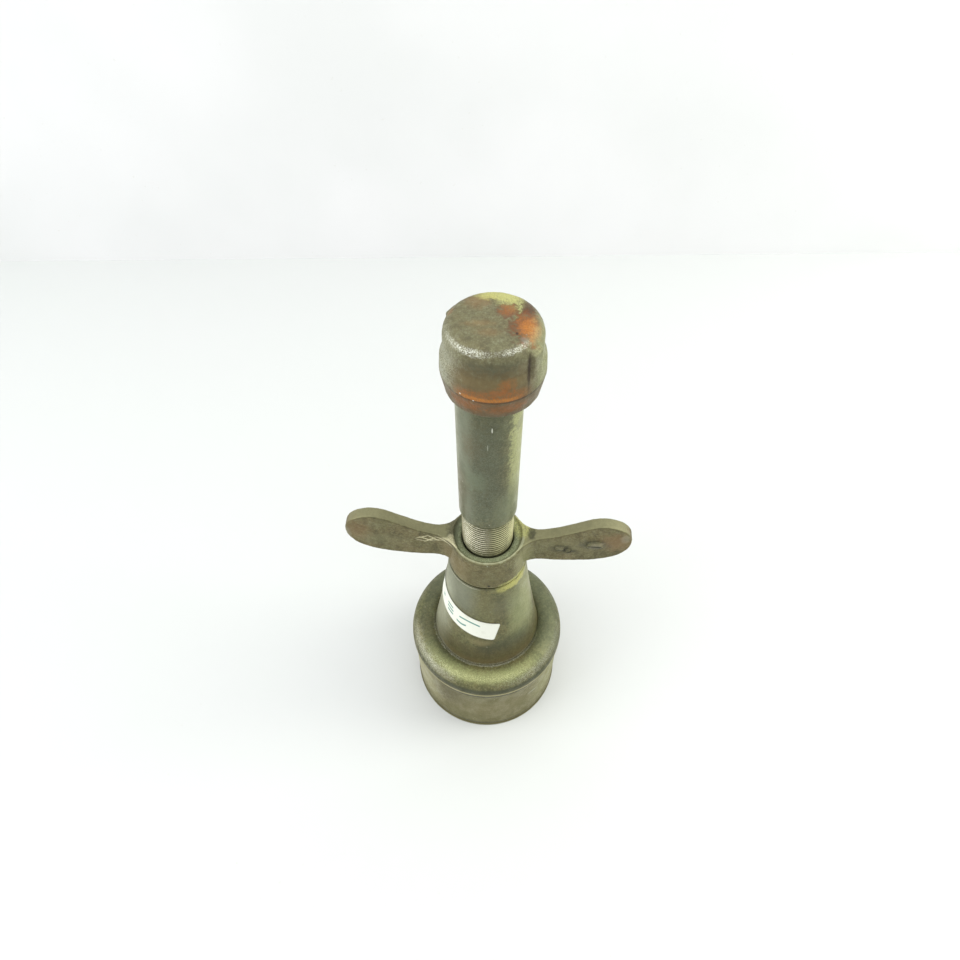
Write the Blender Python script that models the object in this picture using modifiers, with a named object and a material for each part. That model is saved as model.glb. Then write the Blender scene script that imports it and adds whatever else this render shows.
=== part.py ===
"""Adjustable hose nozzle with a swivel hose coupling, a screwed barrel, a wing lock nut and a pipe cap.

Units are metres. +Z runs up the nozzle's axis, and the origin is the centre of the coupling's rim,
which is the face that the nozzle stands on. Every turned piece is a profile given as (radius, height)
points from its top down its outer side and back up its bore, and spun about +Z.
"""

import math

import bmesh
import bpy
from mathutils import Matrix, Vector

OBJECT_NAME = "fire_hose_nozzle"

# Running and seating clearance between neighbouring pieces
GAP = 0.0003

# Small breaks and steps on machined edges, and how far a cutter runs past what it cuts
EDGE_BREAK = 0.0008
SMALL_BREAK = 0.0006
STEP_BREAK = 0.0005
FINE_BREAK = 0.0003
TINY_STEP = 0.0002
CUT_PAST = 0.002
CLEAR_ABOVE = 0.020

# Segments round the axis
COARSE = 32
MEDIUM = 40
FINE = 48

# Swivel coupling: the bell that screws on to the hose
RIM_R = 0.0370
RIM_H = 0.0015
WALL_R = 0.0366
LIP_Z = 0.0424
LIP_R = 0.0374
SHOULDER_Z = 0.0440
CREST_R = 0.0294
CREST_Z = 0.0525
BELL_MOUTH_Z = 0.0494
BELL_BORE_R = 0.0265
BELL_UNDERSIDE_Z = 0.0320
HOSE_MOUTH_R = 0.0310
HOSE_THREAD_ROOT_R = 0.0300
HOSE_THREAD_CREST_R = 0.0284
HOSE_THREAD_Z = (0.0030, 0.0218)
HOSE_THREAD_TURNS = 6
GASKET_GROOVE_R = 0.0306

# Ball race of the swivel
BALL_COUNT = 20
BALL_R = 0.0039
RACE_R = 0.02635
RACE_Z = 0.0375
GROOVE_R = BALL_R + GAP
PLUG_R = 0.0041
PLUG_FACE_Y = 0.0362
PLUG_SLOT = (0.0013, 0.0016)
# Depth of the loading hole's cutter, and its middle outwards of the race
PLUG_HOLE = (0.013, 0.0095)
"""Width and depth of the plug's screwdriver slot."""

# Hose gasket
HOSE_GASKET_R = (0.0194, 0.0302)
HOSE_GASKET_Z = (0.0221, 0.0262)

# Cone body: the nozzle's taper, from the swivel up to the wing nut
FLANGE_R = 0.0280
FLANGE_Z = 0.0265
SHANK_R = BELL_BORE_R - GAP
CONE_FOOT = (0.0257, 0.0495)
CONE_TOP = (0.0167, 0.1100)
CONE_HOLLOW = 0.0007
"""How far the cone's side dips below a straight taper halfway up."""
WATERWAY_R = 0.0190
WATERWAY_TAPER_Z = (0.0450, 0.0660)
CHAMBER_R = 0.0125
CHAMBER_TOP_Z = 0.1003
NECK_BORE_R = 0.0109
WASHER_RECESS = (0.0146, 0.0014)
"""Radius and depth of the recess in the cone's top that holds the lock washer."""

# Lock washer and wing nut
LOCK_WASHER_R = (0.0113, 0.0142)
NUT_BOTTOM_R = 0.0167
NUT_TOP = (0.0152, 0.1278)
NUT_RIM_R = 0.0143
NUT_SINK_Z = 0.1263
WING_TILT = math.radians(-3.5)
WING_HALF_THICKNESS = 0.0026
WING_FILLET_R = 0.0120
WING_OUTLINE = (
    (0.0120, 0.1142), (0.0230, 0.1130), (0.0370, 0.1134), (0.0498, 0.1163), (0.0562, 0.1211),
    (0.0588, 0.1286), (0.0570, 0.1345), (0.0510, 0.1386), (0.0445, 0.1390), (0.0360, 0.1350),
    (0.0262, 0.1303), (0.0120, 0.1276),
)
"""Side outline of one wing as (distance from the axis, height), from under the root round the tip."""
WING_EDGE = 0.0009
WING_TRIM_REACH = 0.0640
WING_MIDDLE_Z = 0.1250

# Barrel: the tube that screws into the cone's neck
BARREL_R = 0.0113
BARREL_BORE_R = 0.0074
BARREL_TOP_Z = 0.2320
TOP_THREAD_R = 0.0109
TOP_THREAD_Z = 0.2150
THREAD_MAJOR_R = 0.0105
THREAD_MINOR_R = 0.0098
THREAD_TOP_Z = 0.1474
THREAD_SHOWN_Z = 0.1259
THREAD_PITCH = 0.00141
HIDDEN_THREAD_R = 0.01015
SPIGOT_R = 0.0089
SPIGOT_Z = (0.0860, 0.0950)

# Rings on the barrel's inner end
PACKING_R = (0.0092, 0.0122)
PACKING_Z = (0.0903, 0.0947)
RETAINER_R = (0.0092, 0.0118)
RETAINER_Z = (0.0862, 0.0900)

# Pipe cap and its gasket
CAP_MOUTH = (0.0152, 0.2138)
CAP_BAND = (0.0166, 0.2214)
CAP_BAND_TOP_Z = 0.2265
CAP_R = 0.0152
CAP_NECK_Z = 0.2290
CAP_TOP_Z = 0.2390
CAP_EDGE = (0.0044, 0.0056)
"""How far the rounding of the cap's top edge reaches inwards and downwards."""
CAP_SHIFT_X = 0.0010
"""How far the cap's casting lies off its own thread."""
CAP_BORE_R = 0.0112
CAP_MOUTH_BORE_R = 0.0117
CAP_CEILING_Z = 0.2346
CAP_RIB_AZIMUTHS = (math.radians(-37.5), math.radians(142.5))
CAP_RIB_R = 0.0163
CAP_RIB = (0.0054, 0.2352)
"""Width of a rib on the cap and the height of its top."""
CAP_RIB_EDGE = 0.0011
CAP_GASKET_R = (0.0078, 0.0107)
CAP_GASKET_Z = (0.2323, 0.2343)

# Paper label, wrapped round the cone
LABEL_START = (math.radians(-77.8), 0.0778)
"""Azimuth and height of the middle of the label's right-hand end."""
LABEL_SIZE = (0.0440, 0.0122)
LABEL_SLOPE = math.radians(15.0)
LABEL_BOW = 3.5
"""How the label's line rises as it goes round: slope at the start, and bow per metre."""
LABEL_THICKNESS = 0.00015
LABEL_LIFT = 0.00012
LABEL_CELLS = (22, 3)


def clear_scene():
    """Remove every object, so that the model starts from nothing."""
    for scene_object in list(bpy.data.objects):
        bpy.data.objects.remove(scene_object, do_unlink=True)


def new_collection(name):
    """Add a collection to the scene."""
    collection = bpy.data.collections.new(name)
    bpy.context.scene.collection.children.link(collection)
    return collection


def new_material(name, colour, roughness, metallic):
    """Make a Principled material."""
    material = bpy.data.materials.new(name)
    material.use_nodes = True
    shader = material.node_tree.nodes["Principled BSDF"]
    shader.inputs["Base Color"].default_value = (*colour, 1.0)
    shader.inputs["Roughness"].default_value = roughness
    shader.inputs["Metallic"].default_value = metallic
    material.diffuse_color = (*colour, 1.0)
    return material


def add_object(name, mesh, collection, material=None):
    """Put a mesh in the scene as a named object."""
    item = bpy.data.objects.new(name, mesh)
    collection.objects.link(item)
    if material is not None:
        mesh.materials.append(material)
    return item


def baked_mesh(item):
    """Return an object's evaluated mesh with its loose seams welded, and remove the object."""
    depsgraph = bpy.context.evaluated_depsgraph_get()
    depsgraph.update()
    mesh = bpy.data.meshes.new_from_object(item.evaluated_get(depsgraph))
    work = bmesh.new()
    work.from_mesh(mesh)
    bmesh.ops.remove_doubles(work, verts=work.verts, dist=1e-7)
    work.to_mesh(mesh)
    work.free()
    bpy.data.objects.remove(item, do_unlink=True)
    return mesh


def turned_mesh(name, profile, segments, collection, closed=True):
    """Spin a profile of (radius, height) points about +Z.

    A closed profile is a ring's section. An open one starts and ends on the axis, as a solid's does.
    """
    outline = bpy.data.meshes.new(name)
    points = [(radius, 0.0, height) for radius, height in profile]
    edges = [(index, index + 1) for index in range(len(points) - 1)]
    if closed:
        edges.append((len(points) - 1, 0))
    outline.from_pydata(points, edges, [])
    blank = add_object(name + "_profile", outline, collection)
    spin = blank.modifiers.new("spin", "SCREW")
    spin.axis = "Z"
    spin.angle = math.tau
    spin.steps = segments
    spin.render_steps = segments
    spin.use_merge_vertices = True
    spin.merge_threshold = 1e-6
    mesh = baked_mesh(blank)
    mesh.name = name
    return mesh


def shade_round(item, angle=math.radians(32.0)):
    """Shade a round piece smooth, with its corners kept sharp."""
    item.data.shade_smooth()
    item.data.set_sharp_from_angle(angle=angle)


def turned(name, profile, segments, collection, material, closed=True):
    """Add a turned piece to the model."""
    item = add_object(name, turned_mesh(name, profile, segments, collection, closed), collection, material)
    shade_round(item)
    return item


def washer(name, radii, heights, segments, collection, material):
    """Add a plain ring: its inner and outer radius, and its lower and upper face."""
    inner, outer = radii
    low, high = heights
    profile = ((outer, high), (outer, low), (inner, low), (inner, high))
    return turned(name, profile, segments, collection, material)


def as_cutter(item, cutters):
    """Keep an object as a wire guide that shapes another one."""
    for collection in list(item.users_collection):
        collection.objects.unlink(item)
    cutters.objects.link(item)
    item.hide_render = True
    item.display_type = "WIRE"
    return item


def boolean(item, operation, tool):
    """Join, cut or trim an object with another one."""
    modifier = item.modifiers.new(operation.lower(), "BOOLEAN")
    modifier.operation = operation
    modifier.solver = "EXACT"
    modifier.object = tool


def arc(centre, radii, start_deg, end_deg, steps):
    """Points of an elliptic arc in the profile plane, as (radius, height)."""
    points = []
    for step in range(steps + 1):
        turn = math.radians(start_deg + (end_deg - start_deg) * step / steps)
        points.append((centre[0] + radii[0] * math.cos(turn), centre[1] + radii[1] * math.sin(turn)))
    return points


def thread_profile(crest_r, root_r, bottom_z, top_z, turns, upwards):
    """Zigzag of a thread's ridges between two heights, going up or down."""
    pitch = (top_z - bottom_z) / turns
    points = []
    for turn in range(turns):
        foot = bottom_z + turn * pitch
        points.append((root_r, foot + 0.25 * pitch))
        points.append((crest_r, foot + 0.75 * pitch))
    return points if upwards else points[::-1]


def cone_radius(height):
    """Outer radius of the cone body at a height on its tapered side."""
    share = (height - CONE_FOOT[1]) / (CONE_TOP[1] - CONE_FOOT[1])
    straight = CONE_FOOT[0] + (CONE_TOP[0] - CONE_FOOT[0]) * share
    return straight - CONE_HOLLOW * 4.0 * share * (1.0 - share)


def make_swivel_bell(parts, cutters, material):
    """Coupling shell: rounded shoulder over a machined wall, with the hose thread and the ball race."""
    outside = arc((CREST_R, SHOULDER_Z), (LIP_R - CREST_R, CREST_Z - SHOULDER_Z), 90, 0, 7)
    outside += [(LIP_R, LIP_Z), (WALL_R, LIP_Z - SMALL_BREAK), (WALL_R, RIM_H + FINE_BREAK)]
    outside += [(RIM_R, RIM_H), (RIM_R, 0.0)]
    bottom, top = HOSE_THREAD_Z
    socket = [(HOSE_MOUTH_R, 0.0), (HOSE_MOUTH_R, bottom - EDGE_BREAK), (HOSE_THREAD_ROOT_R, bottom)]
    socket += thread_profile(HOSE_THREAD_CREST_R, HOSE_THREAD_ROOT_R, bottom, top, HOSE_THREAD_TURNS, True)
    socket += [(GASKET_GROOVE_R, top), (GASKET_GROOVE_R, FLANGE_Z - TINY_STEP)]
    socket += [(FLANGE_R + GAP, FLANGE_Z), (FLANGE_R + GAP, BELL_UNDERSIDE_Z)]
    socket += [(BELL_BORE_R, BELL_UNDERSIDE_Z)]
    race = arc((RACE_R, RACE_Z), (GROOVE_R, GROOVE_R), -87, 87, 8)
    mouth_lip = arc((CREST_R, BELL_MOUTH_Z), (BELL_BORE_R - CREST_R, CREST_Z - BELL_MOUTH_Z), 0, 68, 3)
    bell = turned("swivel_bell", outside + socket + race + mouth_lip, FINE, parts, material)
    bpy.ops.mesh.primitive_cylinder_add(vertices=24, radius=PLUG_R + GAP, depth=PLUG_HOLE[0],
                                        location=(0.0, RACE_R + PLUG_HOLE[1], RACE_Z),
                                        rotation=(math.pi / 2, 0.0, 0.0))
    hole = as_cutter(bpy.context.object, cutters)
    hole.name = "ball_hole_cutter"
    boolean(bell, "DIFFERENCE", hole)


def make_ball_plug(parts, cutters, material):
    """Slotted screw plug that closes the hole through which the balls are loaded."""
    depth = PLUG_FACE_Y - (RACE_R + GROOVE_R + GAP)
    bpy.ops.mesh.primitive_cylinder_add(vertices=24, radius=PLUG_R, depth=depth,
                                        location=(0.0, PLUG_FACE_Y - depth / 2, RACE_Z),
                                        rotation=(math.pi / 2, 0.0, 0.0))
    plug = bpy.context.object
    plug.name = "ball_plug"
    for collection in list(plug.users_collection):
        collection.objects.unlink(plug)
    parts.objects.link(plug)
    plug.data.materials.append(material)
    width, slot_depth = PLUG_SLOT
    bpy.ops.mesh.primitive_cube_add(size=1.0, location=(0.0, PLUG_FACE_Y, RACE_Z))
    slot = as_cutter(bpy.context.object, cutters)
    slot.name = "plug_slot_cutter"
    slot.data.transform(Matrix.Diagonal((4 * PLUG_R, 2 * slot_depth, width, 1.0)))
    boolean(plug, "DIFFERENCE", slot)
    shade_round(plug)


def make_balls(parts, material):
    """Full row of balls that carries the swivel."""
    work = bmesh.new()
    bmesh.ops.create_icosphere(work, subdivisions=2, radius=BALL_R)
    mesh = bpy.data.meshes.new("swivel_ball")
    work.to_mesh(mesh)
    work.free()
    mesh.shade_smooth()
    mesh.materials.append(material)
    for index in range(BALL_COUNT):
        turn = math.tau * (index + 0.5) / BALL_COUNT
        ball = add_object(f"swivel_ball_{index + 1:02d}", mesh, parts)
        ball.location = (RACE_R * math.cos(turn), RACE_R * math.sin(turn), RACE_Z)


def make_cone_body(parts, material):
    """Tapered waterway: flange and ball race below, a threaded neck for the barrel above."""
    recess_r, recess_depth = WASHER_RECESS
    top_r, top_z = CONE_TOP
    taper_steps = 8
    heights = [top_z + (CONE_FOOT[1] - top_z) * step / taper_steps for step in range(taper_steps + 1)]
    outside = [(recess_r, top_z)] + [(cone_radius(height), height) for height in heights]
    outside += [(SHANK_R - SMALL_BREAK, CONE_FOOT[1] - EDGE_BREAK)]
    race = arc((RACE_R, RACE_Z), (GROOVE_R, GROOVE_R), 93, 267, 8)
    flange = [(SHANK_R, BELL_UNDERSIDE_Z - GAP), (FLANGE_R, BELL_UNDERSIDE_Z - GAP), (FLANGE_R, FLANGE_Z)]
    bore = [(WATERWAY_R, FLANGE_Z), (WATERWAY_R, WATERWAY_TAPER_Z[0]), (CHAMBER_R, WATERWAY_TAPER_Z[1])]
    bore += [(CHAMBER_R, CHAMBER_TOP_Z), (NECK_BORE_R, CHAMBER_TOP_Z)]
    bore += [(NECK_BORE_R, top_z - recess_depth), (recess_r, top_z - recess_depth)]
    turned("cone_body", outside + race + flange + bore, FINE, parts, material)


def make_wing_blank(cutters):
    """Both wings as one blank: their side outline, trimmed to their outline seen from above."""
    side = bpy.data.curves.new("wing_side", "CURVE")
    side.dimensions = "2D"
    side.fill_mode = "BOTH"
    side.extrude = 0.030
    side.resolution_u = 3
    spline = side.splines.new("BEZIER")
    outline = list(WING_OUTLINE) + [(-distance, height) for distance, height in reversed(WING_OUTLINE)]
    spline.bezier_points.add(len(outline) - 1)
    for point, (distance, height) in zip(spline.bezier_points, outline):
        point.co = (distance, height, 0.0)
        point.handle_left_type = "AUTO"
        point.handle_right_type = "AUTO"
    spline.use_cyclic_u = True
    swing = Matrix.Rotation(WING_TILT, 4, "Z")
    blank = solid_from_curve("wing_blank", side, swing @ Matrix.Rotation(math.pi / 2, 4, "X"), cutters)

    plan = bpy.data.curves.new("wing_plan", "CURVE")
    plan.dimensions = "2D"
    plan.fill_mode = "BOTH"
    plan.extrude = 0.020
    plan.resolution_u = 3
    spline = plan.splines.new("POLY")
    points = wing_plan_points()
    spline.points.add(len(points) - 1)
    for point, (along, across) in zip(spline.points, points):
        point.co = (along, across, 0.0, 1.0)
    spline.use_cyclic_u = True
    lift = Matrix.Translation((0.0, 0.0, WING_MIDDLE_Z))
    trim = solid_from_curve("wing_trim", plan, swing @ lift, cutters)
    boolean(blank, "INTERSECT", trim)
    rounding = blank.modifiers.new("cast_edge", "BEVEL")
    rounding.width = WING_EDGE
    rounding.segments = 1
    rounding.limit_method = "ANGLE"
    rounding.angle_limit = math.radians(50.0)
    return blank


def wing_plan_points():
    """Outline of both wings from above: parallel blades that flare into the nut with a round fillet."""
    side = WING_HALF_THICKNESS + WING_FILLET_R
    reach = math.sqrt((NUT_TOP[0] + WING_FILLET_R) ** 2 - side ** 2)
    meeting_turn = 180.0 + math.degrees(math.atan2(side, reach))
    flare = arc((reach, side), (WING_FILLET_R, WING_FILLET_R), meeting_turn, 270.0, 5)
    quarter = [(0.0, flare[0][1])] + flare + [(WING_TRIM_REACH, WING_HALF_THICKNESS)]
    right = quarter + [(along, -across) for along, across in reversed(quarter)]
    left = [(-along, across) for along, across in reversed(right[1:-1])]
    return right + left


def solid_from_curve(name, curve, matrix, collection):
    """Turn a filled curve into a closed mesh object, in place, and drop the curve."""
    guide = bpy.data.objects.new(name + "_curve", curve)
    collection.objects.link(guide)
    mesh = baked_mesh(guide)
    mesh.transform(matrix)
    item = add_object(name, mesh, collection)
    item.hide_render = True
    item.display_type = "WIRE"
    return item


def make_wing_nut(parts, cutters, material):
    """Wing lock nut: a tapered collar with two flat wings and a sunk top round the barrel's thread."""
    nut_bottom_z = CONE_TOP[1] + GAP
    top_r, top_z = NUT_TOP
    collar = [(0.0, top_z), (top_r - EDGE_BREAK, top_z), (top_r, top_z - EDGE_BREAK)]
    collar += [(NUT_BOTTOM_R, nut_bottom_z + SMALL_BREAK), (NUT_BOTTOM_R - SMALL_BREAK, nut_bottom_z)]
    collar += [(0.0, nut_bottom_z)]
    nut = turned("wing_nut", collar, FINE, parts, material, closed=False)
    blank = make_wing_blank(cutters)
    boolean(nut, "UNION", blank)
    clear_z = top_z + CLEAR_ABOVE
    bore = [(0.0, clear_z), (NUT_RIM_R, clear_z), (NUT_RIM_R, top_z)]
    bore += [(NUT_RIM_R - SMALL_BREAK, top_z - EDGE_BREAK)]
    bore += [(NECK_BORE_R + SMALL_BREAK, NUT_SINK_Z), (NECK_BORE_R, NUT_SINK_Z - EDGE_BREAK)]
    bore += [(NECK_BORE_R, nut_bottom_z - CUT_PAST), (0.0, nut_bottom_z - CUT_PAST)]
    cutter_mesh = turned_mesh("nut_bore_cutter", bore, FINE, cutters, closed=False)
    cutter = as_cutter(add_object("nut_bore_cutter", cutter_mesh, cutters), cutters)
    boolean(nut, "DIFFERENCE", cutter)


def make_barrel(parts, material):
    """Straight tube with a screwed lower end, a screwed top for the cap and a spigot for its packing."""
    outside = [(TOP_THREAD_R - STEP_BREAK, BARREL_TOP_Z), (TOP_THREAD_R, BARREL_TOP_Z - EDGE_BREAK)]
    outside += [(TOP_THREAD_R, TOP_THREAD_Z), (BARREL_R, TOP_THREAD_Z - STEP_BREAK)]
    outside += [(BARREL_R, THREAD_TOP_Z + SMALL_BREAK), (THREAD_MINOR_R, THREAD_TOP_Z)]
    turns = round((THREAD_TOP_Z - THREAD_SHOWN_Z) / THREAD_PITCH)
    outside += thread_profile(THREAD_MAJOR_R, THREAD_MINOR_R, THREAD_SHOWN_Z, THREAD_TOP_Z, turns, False)
    outside += [(HIDDEN_THREAD_R, THREAD_SHOWN_Z), (HIDDEN_THREAD_R, SPIGOT_Z[1]), (SPIGOT_R, SPIGOT_Z[1])]
    outside += [(SPIGOT_R, SPIGOT_Z[0]), (BARREL_BORE_R, SPIGOT_Z[0]), (BARREL_BORE_R, BARREL_TOP_Z)]
    turned("barrel_tube", outside, COARSE, parts, material)


def make_pipe_cap(parts, cutters, material):
    """Cast pipe cap: banded mouth, plain head with a rounded edge, and two upright ribs."""
    edge_centre = (CAP_R - CAP_EDGE[0], CAP_TOP_Z - CAP_EDGE[1])
    outside = [(0.0, CAP_TOP_Z)] + arc(edge_centre, CAP_EDGE, 90, 0, 5)
    outside += [(CAP_R, CAP_NECK_Z), (CAP_BAND[0] - FINE_BREAK, CAP_BAND_TOP_Z), CAP_BAND]
    foot_z = CAP_MOUTH[1] - FINE_BREAK
    outside += [CAP_MOUTH, (CAP_MOUTH[0] - FINE_BREAK, foot_z), (0.0, foot_z)]
    cap = turned("pipe_cap", outside, MEDIUM, parts, material, closed=False)
    cap.data.transform(Matrix.Translation((CAP_SHIFT_X, 0.0, 0.0)))
    width, rib_top_z = CAP_RIB
    for index, azimuth in enumerate(CAP_RIB_AZIMUTHS):
        bpy.ops.mesh.primitive_cube_add(size=1.0)
        rib = as_cutter(bpy.context.object, cutters)
        rib.name = f"cap_rib_{index + 1}"
        depth = CAP_RIB_R - CAP_BORE_R - EDGE_BREAK
        rib.data.transform(Matrix.Diagonal((depth, width, rib_top_z - CAP_BAND[1], 1.0)))
        rib.data.transform(Matrix.Translation((CAP_RIB_R - depth / 2, 0.0, (rib_top_z + CAP_BAND[1]) / 2)))
        rib.location.x = CAP_SHIFT_X
        rib.rotation_euler.z = azimuth
        rounding = rib.modifiers.new("cast_edge", "BEVEL")
        rounding.width = CAP_RIB_EDGE
        rounding.segments = 1
        boolean(cap, "UNION", rib)
    bore = [(0.0, CAP_CEILING_Z), (CAP_BORE_R, CAP_CEILING_Z), (CAP_BORE_R, TOP_THREAD_Z + STEP_BREAK)]
    bore += [(CAP_MOUTH_BORE_R, TOP_THREAD_Z + TINY_STEP), (CAP_MOUTH_BORE_R, CAP_MOUTH[1] - CUT_PAST)]
    bore += [(0.0, CAP_MOUTH[1] - CUT_PAST)]
    cutter_mesh = turned_mesh("cap_bore_cutter", bore, MEDIUM, cutters, closed=False)
    cutter = as_cutter(add_object("cap_bore_cutter", cutter_mesh, cutters), cutters)
    boolean(cap, "DIFFERENCE", cutter)


def label_point(along, across):
    """Point on the cone's side that lies `along` round the label and `across` up it."""
    azimuth, height = LABEL_START
    slant = math.atan2(CONE_FOOT[0] - CONE_TOP[0], CONE_TOP[1] - CONE_FOOT[1])
    reach = cone_radius(height) / math.sin(slant)
    round_cone = along * math.cos(LABEL_SLOPE) - across * math.sin(LABEL_SLOPE)
    rise = along * math.sin(LABEL_SLOPE) + across * math.cos(LABEL_SLOPE) + along * along * LABEL_BOW
    swing = math.atan2(round_cone, reach - rise)
    distance = math.hypot(round_cone, reach - rise)
    z = height + (reach - distance) * math.cos(slant)
    turn = azimuth - swing / math.sin(slant)
    radius = cone_radius(z) + LABEL_LIFT
    return Vector((radius * math.cos(turn), radius * math.sin(turn), z))


def make_paper_label(parts, material):
    """Blank paper label stuck round the cone."""
    length, width = LABEL_SIZE
    work = bmesh.new()
    bmesh.ops.create_grid(work, x_segments=LABEL_CELLS[0], y_segments=LABEL_CELLS[1], size=0.5)
    for vertex in work.verts:
        vertex.co = label_point((vertex.co.x + 0.5) * length, vertex.co.y * width)
    bmesh.ops.recalc_face_normals(work, faces=work.faces)
    work.faces.ensure_lookup_table()
    middle = work.faces[len(work.faces) // 2]
    if middle.normal.xy.dot(middle.calc_center_median().xy) < 0.0:
        bmesh.ops.reverse_faces(work, faces=work.faces)
    mesh = bpy.data.meshes.new("paper_label")
    work.to_mesh(mesh)
    work.free()
    label = add_object("paper_label", mesh, parts, material)
    mesh.shade_smooth()
    paper = label.modifiers.new("paper", "SOLIDIFY")
    paper.thickness = LABEL_THICKNESS
    paper.offset = 1.0


def main():
    """Build the nozzle from the hose end up to the cap."""
    clear_scene()
    parts = new_collection(OBJECT_NAME)
    cutters = new_collection("cutters")
    bronze = new_material("cast_bronze", (0.17, 0.15, 0.08), 0.45, 0.8)
    body_bronze = new_material("turned_bronze", (0.20, 0.18, 0.10), 0.40, 0.8)
    nut_bronze = new_material("wing_nut_bronze", (0.18, 0.15, 0.08), 0.45, 0.8)
    tube_brass = new_material("tube_brass", (0.19, 0.19, 0.12), 0.38, 0.8)
    iron = new_material("malleable_iron", (0.16, 0.13, 0.07), 0.65, 0.5)
    steel = new_material("ball_steel", (0.55, 0.55, 0.55), 0.25, 1.0)
    brass = new_material("washer_brass", (0.60, 0.45, 0.18), 0.35, 1.0)
    rubber = new_material("gasket_rubber", (0.03, 0.03, 0.03), 0.85, 0.0)
    leather = new_material("packing_leather", (0.16, 0.09, 0.05), 0.80, 0.0)
    paper = new_material("label_paper", (0.85, 0.86, 0.84), 0.70, 0.0)

    make_swivel_bell(parts, cutters, bronze)
    make_ball_plug(parts, cutters, brass)
    make_balls(parts, steel)
    washer("hose_gasket", HOSE_GASKET_R, HOSE_GASKET_Z, MEDIUM, parts, rubber)
    make_cone_body(parts, body_bronze)
    make_paper_label(parts, paper)
    washer_top_z = CONE_TOP[1]
    washer_bottom_z = washer_top_z - WASHER_RECESS[1] + GAP
    washer("lock_washer", LOCK_WASHER_R, (washer_bottom_z, washer_top_z), COARSE, parts, brass)
    make_wing_nut(parts, cutters, nut_bronze)
    make_barrel(parts, tube_brass)
    washer("barrel_packing", PACKING_R, PACKING_Z, COARSE, parts, leather)
    washer("packing_retainer", RETAINER_R, RETAINER_Z, COARSE, parts, brass)
    make_pipe_cap(parts, cutters, iron)
    washer("cap_gasket", CAP_GASKET_R, CAP_GASKET_Z, COARSE, parts, rubber)


if __name__ == "__main__":
    main()
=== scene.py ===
"""Looks of an adjustable hose nozzle with a swivel coupling, a wing lock nut and a capped barrel."""

import logging
import math
from dataclasses import dataclass, field
from enum import Enum

import bpy
from mathutils import Matrix, Vector


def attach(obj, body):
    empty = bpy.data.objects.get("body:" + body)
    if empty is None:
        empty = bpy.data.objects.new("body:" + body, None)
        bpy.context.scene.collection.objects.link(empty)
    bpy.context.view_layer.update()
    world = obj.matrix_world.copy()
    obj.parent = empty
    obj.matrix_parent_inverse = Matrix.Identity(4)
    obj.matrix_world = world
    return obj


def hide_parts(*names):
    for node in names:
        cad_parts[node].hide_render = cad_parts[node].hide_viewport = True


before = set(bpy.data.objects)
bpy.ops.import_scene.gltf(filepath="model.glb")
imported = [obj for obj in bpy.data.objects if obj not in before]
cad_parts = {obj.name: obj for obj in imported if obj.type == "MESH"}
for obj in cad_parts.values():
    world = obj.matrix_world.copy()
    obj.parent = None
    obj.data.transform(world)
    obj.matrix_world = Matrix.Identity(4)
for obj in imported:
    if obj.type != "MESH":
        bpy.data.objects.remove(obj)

log = logging.getLogger("nozzle")

Socket = bpy.types.NodeSocket
Triple = tuple[float, float, float]
Outline = list[tuple[float, float]]

FULL_TURN = 360.0
AXIS = (0.0, 0.0, 1.0)
RAGGED_SCALE = 620.0
FINE_SCALE = 2600.0
MIDDLE_SCALE = 900.0
TOOL_SCALE = 1500.0
NICK_COLOUR = (0.62, 0.62, 0.52)
WARM_SHEEN = (1.0, 0.98, 0.84, 1.0)
CAST_ROUNDS = 2
CAST_PITS = 0.00016
CAST_SKIN_SCALE = 0.0016
BALL_RACE = (0.02635, 0.0375)
BALL_GROOVE = 0.0042


class Grain(Enum):
    """Direction of the fine marks left on a surface."""

    CAST = "cast"
    UPRIGHT = "upright"
    ROUND = "round"


class Body(Enum):
    """Moving groups of the nozzle that pieces ride on."""

    COUPLING = "coupling"
    CONE = "body"
    NUT = "nut"
    BARREL = "barrel"
    CAP = "cap"


class Slot(Enum):
    """Material slots that the record lists for the replaced solids."""

    BELL = "bell_bronze"
    PLUG = "plug_brass"
    CONE = "cone_bronze"
    LABEL = "label_paper"
    NUT = "nut_bronze"
    TUBE = "tube_brass"
    CAP = "cap_iron"


@dataclass(frozen=True)
class Ring:
    """Tint that follows a ring round the nozzle's axis, over a part of its turn.

    Lengths are in metres and angles in degrees; azimuth -90 is the front.
    """

    colour: Triple
    radius: float
    height: float
    reach_r: float
    reach_z: float
    azimuth: float = -90.0
    spread: float = FULL_TURN
    strength: float = 1.0
    soft: float = 0.35
    ragged: float = 0.5
    speckle: float = 0.0
    feather: float = 18.0


@dataclass(frozen=True)
class Patch:
    """Tint inside a stretched and turned ball, with a ragged edge and an optional speckle."""

    colour: Triple
    centre: Triple
    reach: Triple
    turn: float = 0.0
    lean: float = 0.0
    strength: float = 1.0
    soft: float = 0.3
    ragged: float = 0.6
    speckle: float = 0.0


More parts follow.
